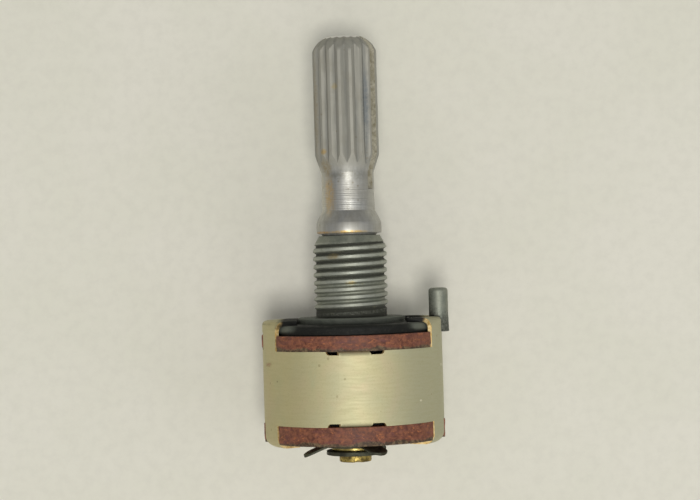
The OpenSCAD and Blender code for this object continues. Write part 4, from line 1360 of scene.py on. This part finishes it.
@dataclass
class RolledCover:
    """Plated cover, rolled from one sheet: band, side walls with crimped tabs, shelves and notches.

    The sheet's middle surface is one grid. Its rows run from the end of the rear tabs over the rear
    bend, the band and the front bend to the end of the front tabs. Its columns run round the shaft,
    from one side of the seam to the other. Cells are left out where the sheet is open.
    """

    sheet: float = 0.4
    outer_r: float = 8.4
    bend: float = 0.6
    tab_x: float = 5.06
    window: float = 58.8
    wall_back: float = 4.2
    slot_half: float = 1.25
    slot_row: int = 11
    slip: float = 0.05
    notch_low: float = -1.7
    shelf_half: float = 10.0
    shelf_r: float = 7.15
    shelf_bend: float = 0.25
    relief_w: float = 1.2
    relief_h: float = 0.32
    pocket_half: float = 1.4
    pocket: float = 0.45
    corner: float = 0.78
    seam_half: float = 0.06
    dent: float = 0.012
    columns: int = 217

    def _angle(self, half: float) -> float:
        """Angle in degrees at the wall's radius that stands for a half width."""
        return math.degrees(math.asin(half / self.mid_r))

    def _columns(self) -> Array:
        """Angles of the columns in degrees at the wall's radius, from one side of the seam to the other.

        The angles at which the sheet is cut are columns themselves: window edges, slots, the back
        of the side walls, the shelf, the pockets and the seam.
        """
        seam, back, slot = (self._angle(half) for half in (self.seam_half, self.wall_back, self.slot_half))
        middle = -90.0 + FRONT_TURN
        first, last = -270.0 + seam, 90.0 - seam
        cuts = [first, last, back, -180.0 - back, slot, -slot, -180.0 + slot, -180.0 - slot]
        cuts += [middle + side * half for side in (-1.0, 1.0) for half in (self.window, self.shelf_half)]
        for x in (k * LUG_PITCH + s for k in (-1, 0, 1) for s in (-self.pocket_half, self.pocket_half)):
            angle = math.degrees(math.acos(np.clip(x / self.mid_r, -1, 1)))
            cuts.append(angle if angle < last else angle - 360.0)
        inner, width = self.shelf_half, math.degrees(self.relief_w / self.mid_r)
        steps = inner + width * 0.5 * (1.0 - np.cos(np.linspace(0.0, math.pi, 17)))
        even, cuts = np.linspace(first, last, self.columns), np.array(sorted(cuts))
        away = np.abs(np.abs(even - middle) - inner - width / 2)
        even = even[(np.abs(even[:, None] - cuts).min(axis=1) > 0.35) & (away > width / 2)]
        return np.unique(np.concatenate([cuts, even, middle + steps, middle - steps]).round(6))

    def _rows(self) -> tuple[Array, dict[str, int]]:
        """Radius and height of the rows of a side wall, and the numbers of the rows at the cuts.

        The rows of the tabs carry, in place of a radius, -1 at the bend and -2 at the tab's end.
        """
        bend = self.bend + self.sheet / 2
        centre_r, reach = self.mid_r - bend, np.linspace(0.0, 1.0, TAB_ROWS)
        low = self.rear_z + self.bend
        rows = [
            np.stack([-1.0 - reach[::-1], np.full(TAB_ROWS, self.rear_z - self.sheet / 2)], axis=1),
            arc((centre_r, low), bend, -90.0, 0.0, BEND_ROWS + 1)[1:],
        ]
        find, count = {}, TAB_ROWS + BEND_ROWS
        for name, stop, steps in (
            ("below_rear_deck", self.rear_deck - self.slip, 4), ("rear_deck", self.rear_deck, 1),
            ("rear_pocket", self.rear_deck + self.pocket, 6),
            ("front_pocket", self.front_deck - self.pocket, 26),
            ("front_deck", self.front_deck, 6), ("above_front_deck", self.front_deck + self.slip, 1),
            ("notch", self.notch_low, 5), ("front_bend", self.front_z - self.bend, 3),
        ):
            heights = np.linspace(low, stop, steps + 1)[1:]
            rows.append(np.stack([np.full(steps, self.mid_r), heights], axis=1))
            count, low = count + steps, stop
            find[name] = count - 1
        rows.append(arc((centre_r, low), bend, 0.0, 90.0, BEND_ROWS + 1)[1:])
        rows.append(np.stack([-1.0 - reach, np.full(TAB_ROWS, self.front_z + self.sheet / 2)], axis=1))
        return np.concatenate(rows), find

    def build(self, shop: Workshop, face: Material, edge: Material) -> None:
        """Builds the cover, thickens it and breaks its edges."""
        self.front_deck, self.rear_deck = standing_box("front_board")[0][2], standing_box("rear_board")[1][2]
        self.rear_z = standing_box("rear_board")[0][2]
        self.front_z = standing_box("cover")[1][2] - self.sheet
        self.mid_r = self.outer_r - self.sheet / 2
        rows, find = self._rows()
        turn = self._columns()
        draft = Draft()
        draft.grid(self._sheet(rows, turn), keep=self._cells(len(rows), turn, find))
        for rear in (False, True):
            self._shelf(draft, turn, rear)
        made = thicken(draft.mesh("sheet"), "rolled_cover", self.sheet, 0.05)
        shop.piece("rolled_cover", made, Body.HOUSING, ["cover"], [face, edge], 30.0)

    def _sheet(self, rows: Array, turn: Array) -> Array:
        """Places every row and column.

        On the walls a column keeps its distance from the plane of the shaft's axis while the radius
        shrinks in the bends and tabs, so slots and the back of the walls stay straight. Columns in
        front of the slots close up towards the window's radial edge. The tabs run to a straight end.
        """
        r = np.maximum(rows[:, :1], 0.0) + 0.0 * turn
        across = self.mid_r * np.sin(np.radians(turn))
        bend = self.bend + self.sheet / 2
        tab_start = self.mid_r - bend
        end = np.hypot(self.tab_x, across)
        for _ in range(3):
            end = np.hypot(self.tab_x, self._across(end, across))
        for tab in (slice(0, TAB_ROWS), slice(-TAB_ROWS, None)):
            r[tab] = tab_start - (end - tab_start) * (rows[tab, :1] + 1.0)
        z = np.broadcast_to(rows[:, 1:], r.shape).copy()
        front = slice(-TAB_ROWS - BEND_ROWS, -TAB_ROWS)
        square = 1.0 - self.corner * (1.0 - smooth_step(1.5, 5.0, np.abs(across)))
        low = self.front_z - self.bend
        r[front] = tab_start + bend * ((r[front] - self.mid_r + bend) / bend) ** square
        z[front] = low + bend * ((z[front] - low) / bend) ** square
        base, kept = np.radians(turn), self._across(r, across)
        side = np.where(np.cos(base) >= 0, 1.0, -1.0)
        straight = np.abs(r - self.mid_r) < 1e-9
        x = np.where(straight, r * np.cos(base), side * np.sqrt(np.maximum(r**2 - kept**2, 0.0)))
        y = np.where(straight, r * np.sin(base), np.clip(kept, -r, r))
        off = np.radians(np.abs(turn + 90.0 - FRONT_TURN) - self.shelf_half) * self.mid_r
        from_end = np.where(off < -1e-6, 0.0, np.clip(self.relief_w - off, 0.0, self.relief_h))
        dip = np.sqrt(self.relief_h**2 - (self.relief_h - from_end) ** 2)
        for deck, sign in ((self.front_deck, 1.0), (self.rear_deck, -1.0)):
            inside = sign * (deck - z)
            z -= sign * dip * np.clip(1.0 - inside / self.pocket, 0.0, 1.0) * (inside >= -1e-6)
        grow = 1.0 + self._dent(x, y, z) / np.maximum(r, 1.0)
        return np.stack([x * grow, y * grow, z], axis=-1)

    def _dent(self, x: Array, y: Array, z: Array) -> Array:
        """How far the sheet stands out at a place, from faint dents."""
        return self.dent * ripple(21, 1.2 * x, 1.2 * y, z, waves=9, reach=1.1)

    def _cells(self, count: int, turn: Array, find: dict[str, int]) -> Array:
        """Says which cells hold sheet: not the window, slots, notch, pockets and shelf openings."""
        middle, row = 0.5 * (turn[1:] + turn[:-1]), np.arange(count - 1)[:, None]
        front, back, slot = -90.0 + FRONT_TURN, self._angle(self.wall_back), self._angle(self.slot_half)
        wall = (middle > front + self.window) & (middle < back)
        wall |= (middle < front - self.window) & (middle > -180.0 - back)
        keep = wall | (row >= find["rear_deck"]) & (row < find["front_deck"])
        right, left = np.abs(middle) < slot, np.abs(middle + 180.0) < slot
        keep &= ~((right | left) & (row >= self.slot_row) & (row < find["rear_deck"]))
        keep &= ~(left & (row >= find["front_deck"]) & (row < find["front_bend"]))
        keep &= ~(right & (row >= find["notch"]))
        x = self.mid_r * np.cos(np.radians(middle))
        lug = np.abs(x - LUG_PITCH * np.round(x / LUG_PITCH)) < self.pocket_half
        lug &= (np.sin(np.radians(middle)) > 0.3) & (np.abs(x) < 1.5 * LUG_PITCH)
        at_deck = (row >= find["rear_deck"]) & (row < find["rear_pocket"])
        at_deck |= (row >= find["front_pocket"]) & (row < find["front_deck"])
        return keep & ~((lug | (np.abs(middle - front) < self.shelf_half)) & at_deck)

    def _across(self, r: Array, across: Array) -> Array:
        """Distance from the plane of the axis to a column at a smaller radius."""
        limit = self.mid_r * math.cos(math.radians(self.window))
        edge = -limit * r / self.mid_r
        share = (across + self.slot_half) / (self.slot_half - limit)
        front = -self.slot_half + (edge + self.slot_half) * share
        return np.where(across < -self.slot_half, front, across)

    def _shelf(self, draft: Draft, turn: Array, rear: bool) -> None:
        """Adds one shelf: it leaves the band, bends in a tight quarter turn and runs in to its end.

        The cover's turn ends in the bend, so the inner end leaves the rotor's stop its room.
        """
        deck, sign = (self.rear_deck, -1.0) if rear else (self.front_deck, 1.0)
        cols = turn[np.abs(turn + 90.0 - FRONT_TURN) <= self.shelf_half + 1e-6]
        low, bend_r = deck - sign * self.pocket, self.mid_r - self.shelf_bend
        quarter = arc((0.0, 0.0), self.shelf_bend, 0.0, 90.0, 9)[1:] * (1.0, sign) + (bend_r, low)
        level = np.full(5, deck - sign * self.sheet / 2)
        run = np.stack([np.linspace(bend_r, self.shelf_r, 5), level], axis=1)
        rows = np.concatenate([[[self.mid_r, low]], quarter, run[1:]])
        r = rows[:, :1]
        share = np.clip((self.mid_r - r) / self.shelf_bend, 0.0, 1.0)
        points = polar(r, np.radians(cols - FRONT_TURN * share), rows[:, 1:])
        fade = np.clip((r - self.shelf_r) / (self.mid_r - self.shelf_r), 0.0, 1.0)
        points[..., :2] *= (1.0 + self._dent(*np.moveaxis(points, -1, 0)) * fade / self.mid_r)[..., None]
        draft.grid(points)


@dataclass
class Boards:
    """The two phenolic boards, with their rough punched edges and their holes."""

    inner_r: float = 7.35
    outer_r: float = 8.45
    window: float = 57.1
    ear_half: float = 1.2
    ear_r: float = 8.52
    ext_half: float = 6.5
    ext_root: float = 4.25
    ext_corner: float = 1.0
    rivet_hole: float = 0.76
    rivet_head: float = 1.1
    front_hole: float = 2.4
    rear_hole: float = 2.21

    def _outline(self, right_ear: bool, far: float) -> Array:
        """Outline from front left to front right and round the back, anticlockwise.

        It is the arc of the front edge, the board's own circle at the sides with an ear where there
        is one, and the extension at the back with its two cut corners.
        """
        left, right = (-90.0 + FRONT_TURN + side * self.window for side in (-1.0, 1.0))
        ear, back = (math.degrees(math.asin(half / self.inner_r)) for half in (self.ear_half, self.ext_root))
        reach, half, cut = math.sqrt(self.ear_r**2 - self.ear_half**2), self.ext_half, self.ext_corner
        tip = np.array([[reach, -self.ear_half], [reach, self.ear_half]])
        run = [arc((0, 0), self.outer_r, left, right, 120)]
        if right_ear:
            run += [arc((0, 0), self.inner_r, right, -ear, 12), tip, arc((0, 0), self.inner_r, ear, back, 12)]
        else:
            run += [arc((0, 0), self.inner_r, right, back, 30)]
        run += [
            np.array([
                [half, self.ext_root], [half, far - cut], [half - cut, far],
                [cut - half, far], [-half, far - cut], [-half, self.ext_root],
            ]),
            arc((0, 0), self.inner_r, 180.0 - back, 180.0 - ear, 12), -tip,
            arc((0, 0), self.inner_r, 180.0 + ear, 360.0 + left, 12),
        ]
        return evenly(np.concatenate(run), 0.12)

    @staticmethod
    def _rough(loops: Array, heights: Array, low: float, rear: bool) -> Array:
        """Depth of the punched edge: fine waves, and a torn-out strip along its rear face."""
        x, y = loops[..., 0], loops[..., 1]
        wave = 0.02 * ripple(31 + rear, x * 3.0, y * 3.0, heights * 4.0, waves=12, reach=2.4)
        torn = smooth_step(low + 0.42, low + 0.05, heights)
        chip = 0.5 + 0.5 * ripple(41 + rear, x * 1.5, y * 1.5, heights, waves=8, reach=2.0)
        return wave + 0.02 + 0.07 * torn * np.clip(chip, 0.0, 1.2)

    def build(self, shop: Workshop, palette: Palette) -> None:
        """Builds both boards in their nodes' places."""
        face = palette.laminate("laminate_face")
        rivet_y = standing_box("front_rivet_2")[0][1] + self.rivet_head
        for rear, row, hole in ((False, "front", self.front_hole), (True, "rear", self.rear_hole)):
            low, high = standing_box(f"{row}_board")
            holes = [circle(0.0, 0.0, hole, 72)]
            holes += [circle(k * LUG_PITCH, rivet_y, self.rivet_hole, 32) for k in (-1, 0, 1)]
            draft, outline = Draft(), self._outline(rear, high[1])
            rough = partial(self._rough, low=low[2], rear=rear)
            add_plate(draft, outline, holes, low[2], high[2], 0.05, rows=9, finishes=(0, 1), rough=rough)
            finishes, nodes = [face, palette.laminate(f"{row}_laminate_edge", low[2])], [f"{row}_board"]
            shop.piece(f"{row}_laminate", draft, Body.HOUSING, nodes, finishes, 50.0)


@dataclass
class LugsAndRivets:
    """Six stamped solder lugs and the six hollow rivets that hold them."""

    lug_w: float = 2.4
    cut: float = 0.15
    wire_r: float = 0.6
    rivet_r: float = 0.75
    head_r: float = 1.1
    bore_r: float = 0.4
    head_t: float = 0.25
    roll: float = 0.22

    def build(self, shop: Workshop, tinned: Material, eyelet: Material) -> None:
        """Builds each lug and each rivet in its node's place."""
        for row in ("front", "rear"):
            for number in (1, 2, 3):
                node = f"{row}_terminal_{number}"
                lug = self._lug(*standing_box(node))
                shop.piece(f"{row}_lug_{number}", lug, Body.HOUSING, [node], [tinned])
                node = f"{row}_rivet_{number}"
                rivet = self._rivet(*standing_box(node))
                shop.piece(f"{row}_eyelet_{number}", rivet, Body.HOUSING, [node], [eyelet])

    def _lug(self, low: Array, high: Array) -> Draft:
        """Drafts a lug: a strip with a round end, a wire hole and the rivet's hole."""
        x, half = (low[0] + high[0]) / 2, self.lug_w / 2
        wire_y, side, end = high[1] - half, half - self.cut, low[1] + self.cut
        outline = np.concatenate([
            [[x - side, low[1]], [x + side, low[1]], [x + half, end]],
            arc((x, wire_y), half, 0.0, 180.0, 30), [[x - half, end]],
        ])
        holes = [circle(x, wire_y, self.wire_r, 40), circle(x, low[1] + half, self.rivet_r, 32)]
        draft = Draft()
        add_plate(draft, evenly(outline, 0.2), holes, low[2], high[2], 0.06)
        return draft

    def _rivet(self, low: Array, high: Array) -> Draft:
        """Drafts a hollow rivet with two rolled heads."""
        middle, bottom, top = (low + high) / 2, low[2], high[2]
        under, over = bottom + self.head_t, top - self.head_t
        draft = Draft()
        draft.turned([
            (self.bore_r, bottom + 0.6, 0.0), (self.bore_r, bottom, self.roll),
            (self.head_r, bottom, self.roll), (self.head_r, under, 0.05),
            (self.rivet_r, under, 0.02), (self.rivet_r, over, 0.02),
            (self.head_r, over, 0.05), (self.head_r, top, self.roll), (self.bore_r, top, self.roll),
            (self.bore_r, bottom + 0.6, 0.0),
        ], 40, middle[:2])
        return draft


@dataclass
class RearBushAndWasher:
    """Brass bush staked in the rear board, and the dark washer on its neck with three sprung fingers."""

    bore_r: float = 1.54
    head_r: float = 2.9
    bush_r: float = 2.2
    collar_r: float = 2.6
    collar_t: float = 0.4
    washer_r: float = 3.0
    washer_t: float = 0.3
    washer_play: float = 0.01
    finger_w: float = 2.0
    finger_reach: float = 4.9
    fingers: tuple[tuple[float, float], ...] = ((192.0, 22.0), (300.0, 15.0), (60.0, 25.0))

    def build(self, shop: Workshop, brass: Material, steel: Material) -> None:
        """Builds the bush and the washer."""
        low, high = (corner[2] for corner in standing_box("rear_bush"))
        under, over = (corner[2] for corner in standing_box("rear_board"))
        top = under - self.collar_t
        draft = Draft()
        draft.turned([
            (self.bore_r, low + 0.5, 0.0), (self.bore_r, low, 0.08), (self.bush_r, low, 0.08),
            (self.bush_r, top, 0.03), (self.collar_r, top, 0.08), (self.collar_r, under, 0.03),
            (self.bush_r, under, 0.0), (self.bush_r, over, 0.0), (self.head_r, over, 0.03),
            (self.head_r, high, 0.16), (self.bore_r, high, 0.08), (self.bore_r, low + 0.5, 0.0),
        ], 96)
        shop.piece("staked_bush", draft, Body.HOUSING, ["rear_bush"], [brass])
        draft, inner, bottom = Draft(), self.bush_r + self.washer_play, top - self.washer_t
        draft.turned([
            (inner, top - 0.15, 0.0), (inner, bottom, 0.04), (self.washer_r, bottom, 0.08),
            (self.washer_r, top, 0.08), (inner, top, 0.04), (inner, top - 0.15, 0.0),
        ], 96)
        for turn, slope in self.fingers:
            self._finger(draft, top, math.radians(turn), math.radians(slope))
        shop.piece("sprung_washer", draft, Body.HOUSING, ["spring_washer"], [steel])

    def _finger(self, draft: Draft, top: float, turn: float, slope: float) -> None:
        """Adds one finger: a rounded flat section carried out and down a bowed path, with a round end."""
        root, tip, half = self.washer_r - self.washer_t, self.finger_reach, self.finger_w / 2
        s = 1.0 - (1.0 - np.linspace(0.0, 1.0, 33)[:, None]) ** 1.6
        out = root + (tip - root) * s
        drop = math.tan(slope) * (out - root) * (0.82 + 0.18 * s)
        end = np.clip((out - (tip - half)) / half, 0.0, 1.0)
        width = np.maximum(half * np.sqrt(np.maximum(1.0 - end**2, 0.0)), 0.03)
        angle = np.linspace(0.0, 2.0 * math.pi, 28, endpoint=False)
        flat, thick = (np.sign(w) * np.abs(w) ** p for w, p in ((np.cos(angle), 0.35), (np.sin(angle), 0.6)))
        across = width * flat
        up = (self.washer_t / 2) * np.minimum(1.0, width / 0.15) * thick
        x, z = out + up * math.sin(slope) * 0.5, top - self.washer_t / 2 - drop + up
        cos, sin = math.cos(turn), math.sin(turn)
        points = np.stack([x * cos - across * sin, x * sin + across * cos, z], axis=-1)
        draft.grid(points, wrap=True)
        for rim in (points[0], points[-1]):
            centre = np.broadcast_to(rim.mean(axis=0), rim.shape)
            draft.grid(np.stack([rim, centre]), wrap=True)


# The set


@dataclass
class Set:
    """Floor, light and camera. The camera's values are measured in the photograph, in its pixels."""

    frame_w: float = 700.0
    frame_h: float = 500.0
    px_per_mm: float = 10.67
    focal_px: float = 2000.0
    origin_px: tuple[float, float] = (351.6, 316.6)
    lean: float = 1.63
    floor_half: float = 0.9
    floor_points: int = 9
    floor_gap: float = 0.0001
    lamps: tuple = (
        ("lamp", (0.015, -0.055, 0.55), 0.1, 1.5, (1.0, 0.985, 0.95)),
        ("near", (0.03, -0.36, 0.4), 0.26, 0.3, (1.0, 0.97, 0.91)),
        ("right", (0.35, -0.02, 0.36), 0.3, 0.2, (0.97, 0.985, 1.0)),
    )
    sky: tuple[float, float] = (0.42, 0.24)

    @staticmethod
    def _place(name: str, data: bpy.types.ID) -> bpy.types.Object:
        """Makes an object for a camera, a lamp or a mesh and puts it in the scene."""
        thing = bpy.data.objects.new(name, data)
        bpy.context.scene.collection.objects.link(thing)
        return thing

    def camera(self) -> None:
        """Puts the camera over the part, so that the frame's origin falls on its pixel."""
        lens = bpy.data.cameras.new("camera")
        lens.sensor_width, lens.sensor_fit = 36.0, "HORIZONTAL"
        lens.lens = lens.sensor_width * self.focal_px / self.frame_w
        lens.clip_start, lens.clip_end = 0.01, 5.0
        right = (self.frame_w / 2 - self.origin_px[0]) / self.px_per_mm * MM
        up = (self.origin_px[1] - self.frame_h / 2) / self.px_per_mm * MM
        turn = math.radians(self.lean)
        camera = self._place("camera", lens)
        camera.location = (
            right * math.cos(turn) + up * math.sin(turn), up * math.cos(turn) - right * math.sin(turn),
            self.focal_px / self.px_per_mm * MM,
        )
        camera.rotation_euler = Euler((0.0, 0.0, -turn))
        bpy.context.scene.camera = camera

    def light(self) -> None:
        """Adds an overhead lamp, two weak soft panels, and a sky that is darker beyond the tip."""
        for name, place, size, power, colour in self.lamps:
            lamp = bpy.data.lights.new(name, "AREA")
            lamp.shape, lamp.size, lamp.energy, lamp.color = "SQUARE", size, power, colour
            panel = self._place(name, lamp)
            panel.location = place
            panel.rotation_euler = (-Vector(place)).to_track_quat("-Z", "Y").to_euler()
        world = bpy.data.worlds.new("sky")
        world.use_nodes = True
        net = Net(world.node_tree)
        forward = net.parts(net.node("ShaderNodeTexCoord").outputs["Generated"])[1]
        back = world.node_tree.nodes["Background"]
        back.inputs["Color"].default_value = (0.97, 0.985, 1.0, 1.0)
        net.put(back.inputs["Strength"], net.span(forward, -0.8, 0.8, *self.sky))
        bpy.context.scene.world = world
        bpy.context.scene.view_settings.view_transform = "Standard"

    def floor(self, lowest: float, finish: Material) -> None:
        """Lays the floor just under the lowest point of the part."""
        x, y = np.meshgrid(*[np.linspace(-self.floor_half, self.floor_half, self.floor_points)] * 2)
        points = np.stack([x, y, np.full_like(x, lowest - self.floor_gap)], axis=-1).reshape(-1, 3)
        made = bpy.data.meshes.new("floor")
        quads = cells(np.arange(x.size).reshape(x.shape)).reshape(-1, 4)
        made.from_pydata(points.tolist(), [], quads.tolist())
        made.materials.append(finish)
        ground = self._place("floor", made)
        ground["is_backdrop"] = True


def main() -> None:
    """Builds every piece round the frame, then the set."""
    logging.basicConfig(level=logging.INFO, format="%(message)s", stream=sys.stdout)
    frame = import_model()
    cad_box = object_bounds()
    palette, shop, scene_set = Palette(), Workshop(), Set()
    scene_set.camera()
    scene_set.light()
    dark = palette.metal("dark_oiled_steel")
    KnobShaft().build(shop, palette.aluminium(), palette.metal("slot_wall"))
    SpindleAndRing().build(shop, palette.metal("stained_brass"), dark)
    BushingAndPlate().build(shop, palette.zinc(), palette.soot_and_shade())
    RolledCover().build(shop, palette.chromate(), palette.cut_edge())
    Boards().build(shop, palette)
    LugsAndRivets().build(shop, palette.metal("tinned_lug"), palette.metal("tinned_eyelet"))
    RearBushAndWasher().build(shop, palette.metal("tarnished_brass"), dark)
    carbon = palette.plastic("carbon_film", (46, 46, 46), (26, 26, 27), 0.55, 2600.0)
    moulding = palette.plastic("dark_moulding", (66, 48, 36), (40, 28, 22), 0.48, 1800.0)
    silvered = ["front_collector_ring", "rear_collector_ring", "front_leads", "rear_leads"]
    shop.dress(frame, ["front_track", "rear_track"], carbon)
    shop.dress(frame, silvered, palette.metal("printed_silver"))
    shop.dress(frame, ["front_rotor", "rear_rotor", "rotor_spacer"], moulding)
    shop.dress(frame, ["front_wiper", "rear_wiper"], palette.metal("phosphor_bronze"))
    scene_set.floor(cad_box[0][2], palette.floor())
    LOG.info("pieces made: %d", len(shop.pieces))


if __name__ == "__main__":
    main()
